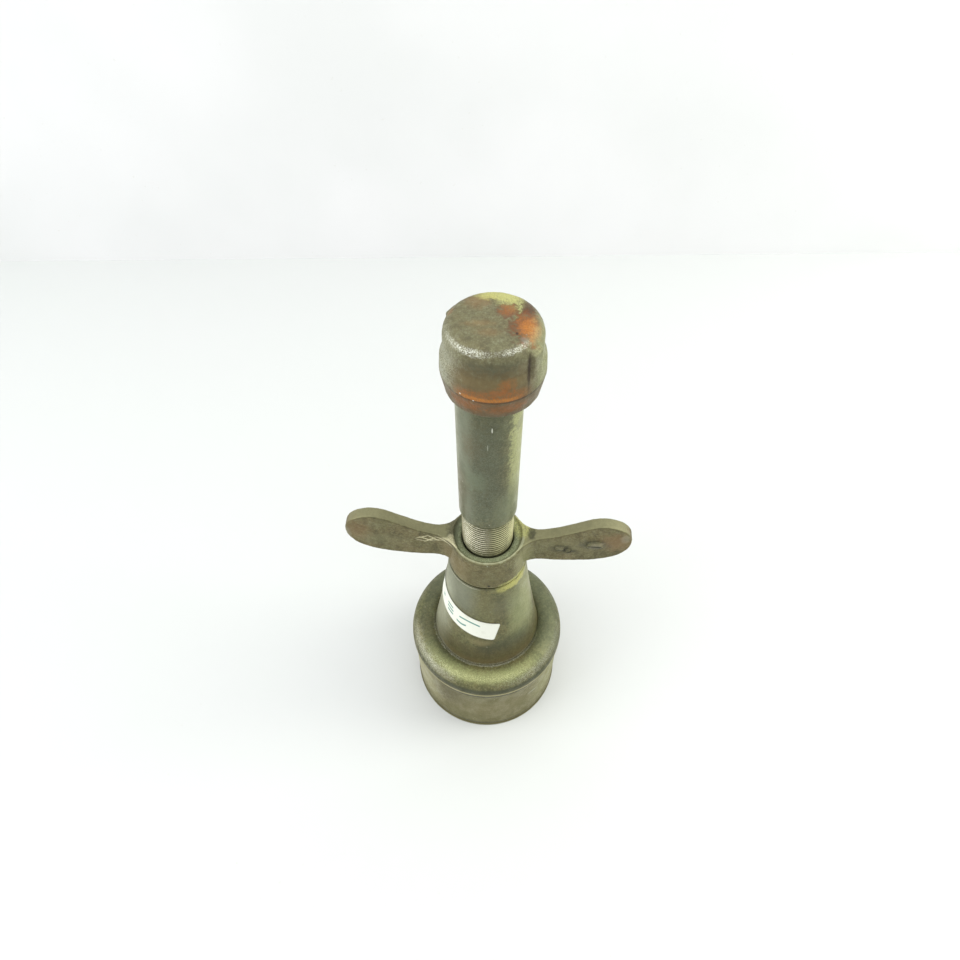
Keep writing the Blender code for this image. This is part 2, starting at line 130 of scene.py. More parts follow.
class Board:
    """Short hand for laying out one material's nodes."""

    def __init__(self, name: str) -> None:
        """Starts an empty material.

        Args:
            name: Name of the material.
        """
        self.material = bpy.data.materials.new(name)
        self.material.use_nodes = True
        self.tree = self.material.node_tree
        self.tree.nodes.clear()
        output = self.tree.nodes.new("ShaderNodeOutputMaterial")
        self.shader = self.tree.nodes.new("ShaderNodeBsdfPrincipled")
        self.tree.links.new(self.shader.outputs["BSDF"], output.inputs["Surface"])
        chart = self.node("ShaderNodeTexCoord")
        self.place = chart.outputs["Object"]
        self.normal = chart.outputs["Normal"]
        parts = self.node("ShaderNodeSeparateXYZ", Vector=self.place)
        self.x = parts.outputs["X"]
        self.y = parts.outputs["Y"]
        self.z = parts.outputs["Z"]
        self.r = self.maths("SQRT", self.maths("ADD", self.maths("MULTIPLY", self.x, self.x),
                                               self.maths("MULTIPLY", self.y, self.y)))
        self.rough_edge = self.noise(self.place, RAGGED_SCALE, 5.0, 0.65)
        self.fine_grain = self.noise(self.place, FINE_SCALE, 3.0, 0.6)

    def node(self, kind: str, **inputs: object) -> bpy.types.Node:
        """Adds a node and fills its inputs.

        Args:
            kind: Name of the node type.
            **inputs: Input name, with underscores for blanks, and its socket or value.

        Returns:
            The new node.
        """
        made = self.tree.nodes.new(kind)
        for name, value in inputs.items():
            self.feed(made.inputs[name.replace("_", " ")], value)
        return made

    def feed(self, socket: Socket, value: object) -> None:
        """Links a socket to an input, or sets the input's value.

        Args:
            socket: Input to fill.
            value: Socket, number, or tuple.
        """
        if isinstance(value, bpy.types.NodeSocket):
            self.tree.links.new(value, socket)
        elif isinstance(value, tuple) and socket.type == "RGBA" and len(value) == 3:
            socket.default_value = (*value, 1.0)
        else:
            socket.default_value = value

    def maths(self, operation: str, first: object, second: object = 0.0) -> Socket:
        """Joins two numbers.

        Args:
            operation: Name of the sum.
            first: First socket or number.
            second: Second socket or number.

        Returns:
            Socket with the result.
        """
        made = self.tree.nodes.new("ShaderNodeMath")
        made.operation = operation
        self.feed(made.inputs[0], first)
        self.feed(made.inputs[1], second)
        return made.outputs[0]

    def spread(self, value: Socket, low: float, high: float, to_low: float = 0.0,
               to_high: float = 1.0) -> Socket:
        """Maps a range smoothly to another one.

        Args:
            value: Socket to map.
            low: Value that gives to_low.
            high: Value that gives to_high.
            to_low: Result at low.
            to_high: Result at high.

        Returns:
            Socket with the mapped value.
        """
        made = self.tree.nodes.new("ShaderNodeMapRange")
        made.interpolation_type = "SMOOTHSTEP"
        self.feed(made.inputs["Value"], value)
        self.feed(made.inputs["From Min"], low)
        self.feed(made.inputs["From Max"], high)
        self.feed(made.inputs["To Min"], to_low)
        self.feed(made.inputs["To Max"], to_high)
        return made.outputs["Result"]

    def stretched(self, scale: Triple, centre: Triple = (0.0, 0.0, 0.0)) -> Socket:
        """Object coordinates, centred and stretched.

        Args:
            scale: Factor for each axis.
            centre: Point that becomes the origin.

        Returns:
            Socket with the coordinates.
        """
        made = self.node("ShaderNodeMapping", Vector=self.place)
        made.inputs["Location"].default_value = tuple(-c * s for c, s in zip(centre, scale))
        made.inputs["Scale"].default_value = scale
        return made.outputs["Vector"]

    def noise(self, vector: Socket, scale: float, detail: float = 4.0, roughness: float = 0.5) -> Socket:
        """Cloudy pattern.

        Args:
            vector: Coordinates it follows.
            scale: Number of clouds to a unit.
            detail: Number of finer layers.
            roughness: Weight of the finer layers.

        Returns:
            Socket with the pattern, from 0 to 1.
        """
        made = self.node("ShaderNodeTexNoise", Vector=vector, Scale=scale, Detail=detail, Roughness=roughness)
        return made.outputs[0]

    def mix(self, share: object, first: object, second: object, blend: str = "MIX") -> Socket:
        """Blends two colours.

        Args:
            share: Share of the second colour.
            first: Colour or socket under it.
            second: Colour or socket laid on it.
            blend: Name of the way they blend.

        Returns:
            Socket with the colour.
        """
        made = self.tree.nodes.new("ShaderNodeMix")
        made.data_type = "RGBA"
        made.blend_type = blend
        self.feed(made.inputs[0], share)
        self.feed(made.inputs[6], first)
        self.feed(made.inputs[7], second)
        return made.outputs[2]

    def broken(self, mask: Socket, strength: float, speckle: float) -> Socket:
        """Breaks a mask up into specks.

        Args:
            mask: Mask to break up.
            strength: Greatest share it may reach.
            speckle: 0 for a closed mask, 1 for specks alone.

        Returns:
            Socket with the broken mask.
        """
        full = self.maths("MULTIPLY", mask, strength)
        if speckle <= 0.0:
            return full
        specks = self.spread(self.fine_grain, 0.42, 0.62, 1.0 - speckle, 1.0)
        return self.maths("MULTIPLY", full, specks)

    def ring_mask(self, ring: Ring) -> Socket:
        """Share of a ring tint over the surface.

        Args:
            ring: The ring.

        Returns:
            Socket with the share.
        """
        off_r = self.maths("DIVIDE", self.maths("SUBTRACT", self.r, ring.radius), ring.reach_r)
        off_z = self.maths("DIVIDE", self.maths("SUBTRACT", self.z, ring.height), ring.reach_z)
        square = self.maths("ADD", self.maths("MULTIPLY", off_r, off_r), self.maths("MULTIPLY", off_z, off_z))
        wobble = self.maths("MULTIPLY", self.maths("SUBTRACT", self.rough_edge, 0.5), ring.ragged * 2.0)
        distance = self.maths("ADD", self.maths("SQRT", square), wobble)
        mask = self.spread(distance, 1.0 + ring.soft, 1.0 - ring.soft)
        if ring.spread < 180.0:
            angle = math.radians(ring.azimuth)
            along = self.maths("ADD", self.maths("MULTIPLY", self.x, math.cos(angle)),
                               self.maths("MULTIPLY", self.y, math.sin(angle)))
            facing = self.maths("DIVIDE", along, self.maths("MAXIMUM", self.r, 0.0001))
            facing = self.maths("ADD", facing, self.maths("MULTIPLY", wobble, 0.12))
            outer = math.cos(math.radians(min(ring.spread + ring.feather, 179.0)))
            inner = math.cos(math.radians(max(ring.spread - ring.feather, 0.0)))
            mask = self.maths("MULTIPLY", mask, self.spread(facing, outer, inner))
        return self.broken(mask, ring.strength, ring.speckle)

    def patch_mask(self, patch: Patch) -> Socket:
        """Share of a patch tint over the surface.

        Args:
            patch: The patch.

        Returns:
            Socket with the share.
        """
        local = self.tree.nodes.new("ShaderNodeMapping")
        local.vector_type = "TEXTURE"
        self.feed(local.inputs["Vector"], self.place)
        local.inputs["Location"].default_value = patch.centre
        local.inputs["Rotation"].default_value = (0.0, math.radians(patch.lean), math.radians(patch.turn))
        local.inputs["Scale"].default_value = patch.reach
        length = self.tree.nodes.new("ShaderNodeVectorMath")
        length.operation = "LENGTH"
        self.feed(length.inputs[0], local.outputs["Vector"])
        wobble = self.maths("MULTIPLY", self.maths("SUBTRACT", self.rough_edge, 0.5), patch.ragged * 2.0)
        distance = self.maths("ADD", length.outputs["Value"], wobble)
        mask = self.spread(distance, 1.0 + patch.soft, 1.0 - patch.soft)
        return self.broken(mask, patch.strength, patch.speckle)

    def tint(self, base: Socket, marks: tuple[Ring | Patch, ...]) -> Socket:
        """Lays tints over a colour, in order.

        Args:
            base: Colour under them.
            marks: Rings and patches.

        Returns:
            Socket with the tinted colour.
        """
        for mark in marks:
            share = self.ring_mask(mark) if isinstance(mark, Ring) else self.patch_mask(mark)
            base = self.mix(share, base, mark.colour)
        return base


@dataclass(frozen=True)
class AgedMetal:
    """Old bare metal: mottled tones, worn edges, pores, scratches and local tints, some of which are painted
    highlights and painted shade, and an optional painted lighter top.
    """

    name: str
    dark: Triple
    mid: Triple
    warm: Triple
    pale: Triple
    metallic: float = 0.35
    roughness: tuple[float, float] = (0.38, 0.62)
    mottle: float = 70.0
    grain: Grain = Grain.CAST
    grain_depth: float = 0.00012
    pore_size: float = 900.0
    specks: float = 0.35
    wear: float = 0.5
    # Colour of painted light on faces that look up; None leaves them as they are.
    lit_top: Triple | None = None
    marks: tuple[Ring | Patch, ...] = ()

    def build(self) -> bpy.types.Material:
        """Makes the material.

        Returns:
            The finished material.
        """
        board = Board(self.name)
        clouds = board.noise(board.place, self.mottle, 5.0, 0.6)
        blotch = board.noise(board.stretched((1.0, 1.0, 0.6), (0.011, 0.007, 0.004)), self.mottle * 2.7,
                             6.0, 0.7)
        colour = board.mix(board.spread(clouds, 0.36, 0.62), self.mid, self.warm)
        colour = board.mix(board.maths("MULTIPLY", board.spread(blotch, 0.54, 0.36), 0.62), colour, self.dark)
        colour = board.mix(board.maths("MULTIPLY", board.spread(blotch, 0.55, 0.74), 0.45), colour, self.pale)
        marks_left = self.tool_marks(board)
        colour = board.mix(board.spread(marks_left, 0.35, 0.7, 0.0, 0.34), colour, self.dark)
        mid_grain = board.noise(board.place, MIDDLE_SCALE, 2.0, 0.6)
        colour = board.mix(board.spread(mid_grain, 0.50, 0.34, 0.0, 0.62), colour, self.dark)
        colour = board.mix(board.spread(mid_grain, 0.54, 0.68, 0.0, 0.36), colour, self.pale)
        colour = board.mix(board.spread(board.fine_grain, 0.5, 0.34, 0.0, 0.42), colour, self.dark)
        colour = board.mix(board.spread(board.fine_grain, 0.55, 0.68, 0.0, 0.42), colour, self.pale)
        # Painted light on faces that look up, with a painted shade line where they turn down.
        if self.lit_top is not None:
            colour = self.paint_top_light(board, colour)
        colour = board.tint(colour, self.marks)
        colour = board.mix(self.edge_wear(board), colour, self.pale)
        colour = board.mix(self.speck_mask(board), colour, NICK_COLOUR)
        board.feed(board.shader.inputs["Base Color"], colour)
        board.shader.inputs["Metallic"].default_value = self.metallic
        board.shader.inputs["Specular Tint"].default_value = WARM_SHEEN
        low, high = self.roughness
        board.feed(board.shader.inputs["Roughness"], board.spread(blotch, 0.32, 0.68, high, low))
        self.lay_bump(board, marks_left)
        return board.material

    def paint_top_light(self, board: Board, colour: Socket) -> Socket:
        """Painted light: paler faces that look up, with a painted shade line where they turn down.

        Args:
            board: The material's board.
            colour: Colour under them.

        Returns:
            Socket with the weathered colour.
        """
        facing = board.node("ShaderNodeSeparateXYZ", Vector=board.normal).outputs["Z"]
        turned = board.maths("ADD", facing,
                             board.maths("MULTIPLY", board.maths("SUBTRACT", board.rough_edge, 0.5), 0.4))
        line = board.maths("MULTIPLY", board.spread(turned, 0.10, 0.30), board.spread(turned, 0.66, 0.40))
        colour = board.mix(board.spread(turned, 0.45, 0.75, 0.0, 0.75), colour, self.lit_top)
        return board.mix(board.maths("MULTIPLY", line, 0.62), colour, self.dark)

    def tool_marks(self, board: Board) -> Socket:
        """Fine marks in the direction of the grain.

        Args:
            board: The material's board.

        Returns:
            Socket with the pattern.
        """
        if self.grain is Grain.UPRIGHT:
            return board.noise(board.stretched((1.0, 1.0, 0.07)), TOOL_SCALE, 4.0, 0.65)
        if self.grain is Grain.ROUND:
            return board.noise(board.stretched((0.06, 0.06, 1.0)), TOOL_SCALE, 4.0, 0.6)
        return board.noise(board.place, self.pore_size, 6.0, 0.7)

    def edge_wear(self, board: Board) -> Socket:
        """Brighter metal where hands and tools have rubbed the edges.

        Args:
            board: The material's board.

        Returns:
            Socket with the share of worn metal.
        """
        point = board.node("ShaderNodeNewGeometry").outputs["Pointiness"]
        edge = board.spread(point, 0.508, 0.56)
        broken = board.spread(board.rough_edge, 0.3, 0.62)
        return board.maths("MULTIPLY", board.maths("MULTIPLY", edge, broken), self.wear)

    def speck_mask(self, board: Board) -> Socket:
        """Sparse pale nicks.

        Args:
            board: The material's board.

        Returns:
            Socket with the share of nicks.
        """
        cells = board.node("ShaderNodeTexVoronoi", Vector=board.stretched((1.0, 1.0, 0.45)), Scale=430.0)
        nick = board.spread(cells.outputs["Distance"], 0.16, 0.07)
        chance = board.spread(board.noise(board.place, 240.0, 2.0), 0.6, 0.68)
        return board.maths("MULTIPLY", board.maths("MULTIPLY", nick, chance), self.specks)

    def lay_bump(self, board: Board, marks_left: Socket) -> None:
        """Pores, tool marks and slight dents in the surface.

        Args:
            board: The material's board.
            marks_left: Pattern of the tool marks.
        """
        dents = board.noise(board.place, 190.0, 3.0, 0.5)
        height = board.maths("ADD", board.maths("MULTIPLY", marks_left, 0.6),
                             board.maths("MULTIPLY", board.fine_grain, 0.3))
        height = board.maths("ADD", height, board.maths("MULTIPLY", dents, 0.9))
        height = board.maths("ADD", height, board.maths("MULTIPLY", board.rough_edge, 0.7))
        bump = board.node("ShaderNodeBump", Height=height)
        bump.inputs["Strength"].default_value = 0.9
        bump.inputs["Distance"].default_value = self.grain_depth
        board.feed(board.shader.inputs["Normal"], bump.outputs["Normal"])


@dataclass(frozen=True)
class SoftSeal:
    """Rubber, leather or fibre of a washer: dull, dusty and slightly fibrous."""

    name: str
    colour: Triple
    dusty: Triple
    roughness: float = 0.8
    fibre: float = 1400.0

    def build(self) -> bpy.types.Material:
        """Makes the material.

        Returns:
            The finished material.
        """
        board = Board(self.name)
        dust = board.noise(board.place, 210.0, 6.0, 0.65)
        hairs = board.noise(board.stretched((0.2, 0.2, 1.0)), self.fibre, 4.0, 0.7)
        colour = board.mix(board.spread(dust, 0.42, 0.7, 0.0, 0.6), self.colour, self.dusty)
        colour = board.mix(board.spread(hairs, 0.5, 0.72, 0.0, 0.35), colour, self.dusty)
        board.feed(board.shader.inputs["Base Color"], colour)
        board.feed(board.shader.inputs["Roughness"], board.spread(dust, 0.3, 0.7, self.roughness, 0.95))
        bump = board.node("ShaderNodeBump", Height=board.maths("ADD", hairs, dust))
        bump.inputs["Strength"].default_value = 0.6
        bump.inputs["Distance"].default_value = 0.0001
        board.feed(board.shader.inputs["Normal"], bump.outputs["Normal"])
        return board.material


@dataclass(frozen=True)
class PenStroke:
    """Short pen mark on the label, in the label's own UV: centre, half length and width, and slant."""

    centre: tuple[float, float]
    half: tuple[float, float]
    slant: float
    bow: float = 0.0


@dataclass(frozen=True)
class LabelPaper:
    """White label paper with faint fibres, grubby edges and a few plain pen marks."""

    shape: tuple[float, float]
    name: str = "label_paper_look"
    paper: Triple = (0.76, 0.78, 0.70)
    grubby: Triple = (0.52, 0.52, 0.42)
    ink: Triple = (0.012, 0.19, 0.16)
    strokes: tuple[PenStroke, ...] = (
        PenStroke((0.300, 0.46), (0.0008, 0.0009), 20.0),
        PenStroke((0.440, 0.64), (0.0020, 0.00052), 8.0),
        PenStroke((0.450, 0.46), (0.0022, 0.00052), 8.0),
        PenStroke((0.460, 0.28), (0.0020, 0.00052), 8.0),
        PenStroke((0.620, 0.26), (0.0026, 0.00058), 10.0, 95.0),
        PenStroke((0.690, 0.70), (0.0052, 0.00052), 6.0, -30.0),
    )

    def build(self) -> bpy.types.Material:
        """Makes the material.

        Returns:
            The finished material.
        """
        board = Board(self.name)
        chart = board.node("ShaderNodeUVMap")
        chart.uv_map = "label"
        parts = board.node("ShaderNodeSeparateXYZ", Vector=chart.outputs["UV"])
        fibres = board.noise(board.place, 1700.0, 5.0, 0.7)
        stains = board.noise(board.place, 240.0, 4.0, 0.6)
        colour = board.mix(board.spread(stains, 0.5, 0.78, 0.0, 0.45), self.paper, self.grubby)
        colour = board.mix(self.rim(board, parts), colour, self.grubby)
        colour = board.mix(board.spread(fibres, 0.5, 0.75, 0.0, 0.18), colour, self.grubby)
        for stroke in self.strokes:
            colour = board.mix(self.stroke_mask(board, parts, stroke, fibres), colour, self.ink)
        board.feed(board.shader.inputs["Base Color"], colour)
        board.feed(board.shader.inputs["Roughness"], board.spread(fibres, 0.3, 0.7, 0.62, 0.8))
        bump = board.node("ShaderNodeBump", Height=board.maths("ADD", fibres, stains))
        bump.inputs["Strength"].default_value = 0.35
        bump.inputs["Distance"].default_value = 0.00006
        board.feed(board.shader.inputs["Normal"], bump.outputs["Normal"])
        return board.material

    def rim(self, board: Board, parts: bpy.types.Node) -> Socket:
        """Grubby edge of the paper.

        Args:
            board: The material's board.
            parts: Node with the label's own coordinates.

        Returns:
            Socket with the share of dirt.
        """
        length, width = self.shape
        off_u = board.maths("SUBTRACT", 0.5,
                            board.maths("ABSOLUTE", board.maths("SUBTRACT", parts.outputs[0], 0.5)))
        off_v = board.maths("SUBTRACT", 0.5,
                            board.maths("ABSOLUTE", board.maths("SUBTRACT", parts.outputs[1], 0.5)))
        near = board.maths("MINIMUM", board.maths("MULTIPLY", off_u, length),
                           board.maths("MULTIPLY", off_v, width))
        return board.spread(near, 0.0006, 0.0, 0.0, 0.6)

    def stroke_mask(self, board: Board, parts: bpy.types.Node, stroke: PenStroke, fibres: Socket) -> Socket:
        """Ink of one pen mark.

        Args:
            board: The material's board.
            parts: Node with the label's own coordinates.
            stroke: The pen mark.
            fibres: Pattern that breaks the ink up.

        Returns:
            Socket with the share of ink.
        """
        length, width = self.shape
        across = board.maths("MULTIPLY", board.maths("SUBTRACT", parts.outputs[0], stroke.centre[0]), length)
        up = board.maths("MULTIPLY", board.maths("SUBTRACT", parts.outputs[1], stroke.centre[1]), width)
        cos, sin = math.cos(math.radians(stroke.slant)), math.sin(math.radians(stroke.slant))
        along = board.maths("ADD", board.maths("MULTIPLY", across, cos), board.maths("MULTIPLY", up, sin))
        aside = board.maths("SUBTRACT", board.maths("MULTIPLY", up, cos),
                            board.maths("MULTIPLY", across, sin))
        curve = board.maths("MULTIPLY", board.maths("MULTIPLY", along, along), stroke.bow)
        aside = board.maths("ABSOLUTE", board.maths("SUBTRACT", aside, curve))
        aside = board.maths("ADD", aside,
                            board.maths("MULTIPLY", board.maths("SUBTRACT", fibres, 0.5), 0.0002))
        body = board.spread(aside, stroke.half[1] * 1.25, stroke.half[1] * 0.7)
        ends = board.spread(board.maths("ABSOLUTE", along), stroke.half[0] * 1.05, stroke.half[0] * 0.9)
        return board.maths("MULTIPLY", board.maths("MULTIPLY", body, ends), 0.86)


def only(piece: bpy.types.Object) -> None:
    """Selects one piece and nothing else.

    Args:
        piece: Piece to select.
    """
    bpy.ops.object.select_all(action="DESELECT")
    piece.select_set(True)
    bpy.context.view_layer.objects.active = piece


def tidy_shell(piece: bpy.types.Object, merge: float = 0.000002) -> None:
    """Merges doubled points of a piece and turns its faces outwards.

    Args:
        piece: Piece to tidy.
        merge: Greatest distance between doubles, in metres.
    """
    only(piece)
    bpy.ops.object.mode_set(mode="EDIT")
    bpy.ops.mesh.select_all(action="SELECT")
    bpy.ops.mesh.remove_doubles(threshold=merge)
    bpy.ops.mesh.normals_make_consistent(inside=False)
    bpy.ops.object.mode_set(mode="OBJECT")


def shade(piece: bpy.types.Object, angle: float = 32.0) -> None:
    """Shades a piece smooth, apart from its sharp edges.

    Args:
        piece: Piece to shade.
        angle: Least angle of a sharp edge, in degrees.
    """
    only(piece)
    bpy.ops.object.shade_smooth_by_angle(angle=math.radians(angle))


def settle(piece: bpy.types.Object) -> None:
    """Puts a piece's place, turn and scale into its mesh.

    Args:
        piece: Piece to settle.
    """
    only(piece)
    bpy.ops.object.transform_apply(location=True, rotation=True, scale=True)


def apply_boolean(piece: bpy.types.Object, operation: str, other: bpy.types.Object) -> None:
    """Cuts a piece with another one, or joins them, and removes the other.

    Args:
        piece: Piece that stays.
        operation: DIFFERENCE or UNION.
        other: Piece that is used up.
    """
    only(piece)
    step = piece.modifiers.new("shape", "BOOLEAN")
    step.operation = operation
    step.solver = "EXACT"
    step.object = other
    bpy.ops.object.modifier_apply(modifier=step.name)
    bpy.data.objects.remove(other)


def recast(piece: bpy.types.Object, cell: float, rounds: int, pits: float) -> None:
    """Softens a piece's edges as casting does, and roughens its skin a little inwards.

    Args:
        piece: Piece to work on.
        cell: Size of the remeshed cells, in metres.
        rounds: Number of smoothing rounds.
        pits: Depth of the skin's hollows, in metres.
    """
    only(piece)
    cells = piece.modifiers.new("cells", "REMESH")
    cells.mode = "VOXEL"
    cells.voxel_size = cell
    bpy.ops.object.modifier_apply(modifier=cells.name)
    soft = piece.modifiers.new("soft", "SMOOTH")
    soft.factor = 0.5
    soft.iterations = rounds
    bpy.ops.object.modifier_apply(modifier=soft.name)
    if pits > 0.0:
        clouds = bpy.data.textures.new("cast_skin", "CLOUDS")
        clouds.noise_scale = CAST_SKIN_SCALE
        clouds.noise_depth = 3
        skin = piece.modifiers.new("skin", "DISPLACE")
        skin.texture = clouds
        skin.texture_coords = "LOCAL"
        skin.strength = pits
        skin.mid_level = 1.0
        bpy.ops.object.modifier_apply(modifier=skin.name)
    bpy.ops.object.shade_smooth()


def copy_of_node(node: str, name: str) -> bpy.types.Object:
    """Copies a solid's mesh into a new piece with merged points.

    Args:
        node: Name of the solid.
        name: Name of the new piece.

    Returns:
        The new piece.
    """
    piece = bpy.data.objects.new(name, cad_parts[node].data.copy())
    bpy.context.scene.collection.objects.link(piece)
    piece.data.materials.clear()
    tidy_shell(piece)
    return piece


def dress_node(node: str, material: bpy.types.Material) -> None:
    """Gives a solid that stays in view its finish.

    Args:
        node: Name of the solid.
        material: Its finish.
    """
    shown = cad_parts[node]
    if not shown.material_slots:
        shown.data.materials.append(material)
    for entry in shown.material_slots:
        entry.material = material
    log.info("%s dressed with %s", node, material.name)


def place_piece(piece: bpy.types.Object, material: bpy.types.Material, body: Body,
                node: str) -> None:
    """Dresses a new piece, puts it on its body, and lets it stand for a solid.

    Args:
        piece: The new piece.
        material: Its finish.
        body: Body it rides on.
        node: Solid it stands for.
    """
    piece.data.materials.clear()
    piece.data.materials.append(material)
    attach(piece, body.value)
    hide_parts(node)
    log.info("%s: %d faces", piece.name, len(piece.data.polygons))


@dataclass
class Profile:
    """Half section of a turned piece, traced corner by corner."""

    points: Outline = field(default_factory=list)

    def corner(self, radius: float, height: float) -> "Profile":
        """Adds a sharp corner.

        Args:
            radius: Distance from the axis.
            height: Height up the axis.

        Returns:
            The profile itself.
        """
        self.points.append((radius, height))
        return self

    def curve(self, centre: tuple[float, float], reach: tuple[float, float], start: float, end: float,
              steps: int) -> "Profile":
        """Adds a round part.

        Args:
            centre: Middle of the round.
            reach: Half width and half height of the round.
            start: Starting angle in degrees, from straight out.
            end: End angle in degrees.
            steps: Number of straight steps.

        Returns:
            The profile itself.
        """
        for step in range(steps + 1):
            angle = math.radians(start + (end - start) * step / steps)
            self.points.append((centre[0] + reach[0] * math.cos(angle),
                                centre[1] + reach[1] * math.sin(angle)))
        return self

    def softened(self, size: float, closed: bool, least_turn: float = 24.0) -> Outline:
        """Rounds the corners that turn more than a little.

        Args:
            size: Length taken off each side of a corner.
            closed: Whether the last point leads back to the first.
            least_turn: Least turn of a rounded corner, in degrees.

        Returns:
            The rounded outline.
        """
        rounded: Outline = []
        count = len(self.points)
        for index, (radius, height) in enumerate(self.points):
            if not closed and index in (0, count - 1):
                rounded.append((radius, height))
                continue
            here = Vector((radius, height))
            back = Vector(self.points[index - 1]) - here
            ahead = Vector(self.points[(index + 1) % count]) - here
            turn = 180.0 - math.degrees(back.angle(ahead, math.pi))
            cut = min(size, 0.42 * back.length, 0.42 * ahead.length)
            if turn < least_turn or cut < 0.00002:
                rounded.append((radius, height))
                continue
            first = here + back.normalized() * cut
            last = here + ahead.normalized() * cut
            for step in range(4):
                share = step / 3
                bend = first * (1 - share) ** 2 + here * 2 * share * (1 - share) + last * share ** 2
                rounded.append((bend.x, bend.y))
        return rounded


@dataclass
class Lathe:
    """Turns a profile into a round piece."""

    segments: int = 128

    def turn(self, name: str, outline: Outline, closed: bool) -> bpy.types.Object:
        """Traces an outline point by point and spins it round the axis.

        Args:
            name: Name of the piece.
            outline: Radius and height of each point.
            closed: Whether the outline leads back to its start.

        Returns:
            The turned piece.
        """
        radius, height = outline[0]
        bpy.ops.object.select_all(action="DESELECT")
        bpy.ops.mesh.primitive_circle_add(vertices=3, radius=0.001, location=(radius, 0.0, height))
        piece = bpy.context.object
        piece.name = name
        bpy.ops.object.transform_apply(location=True, rotation=True, scale=True)
        bpy.ops.object.mode_set(mode="EDIT")
        bpy.ops.mesh.select_all(action="SELECT")
        bpy.ops.mesh.merge(type="CENTER")
        path = outline[1:] + ([outline[0]] if closed else [])
        for next_radius, next_height in path:
            step = (next_radius - radius, 0.0, next_height - height)
            bpy.ops.mesh.extrude_vertices_move(TRANSFORM_OT_translate={"value": step})
            radius, height = next_radius, next_height
        bpy.ops.mesh.select_all(action="SELECT")
        bpy.ops.mesh.remove_doubles(threshold=0.000001)
        bpy.ops.mesh.spin(steps=self.segments, angle=math.radians(FULL_TURN), center=(0.0, 0.0, 0.0),
                          axis=AXIS)
        bpy.ops.object.mode_set(mode="OBJECT")
        tidy_shell(piece)
        return piece


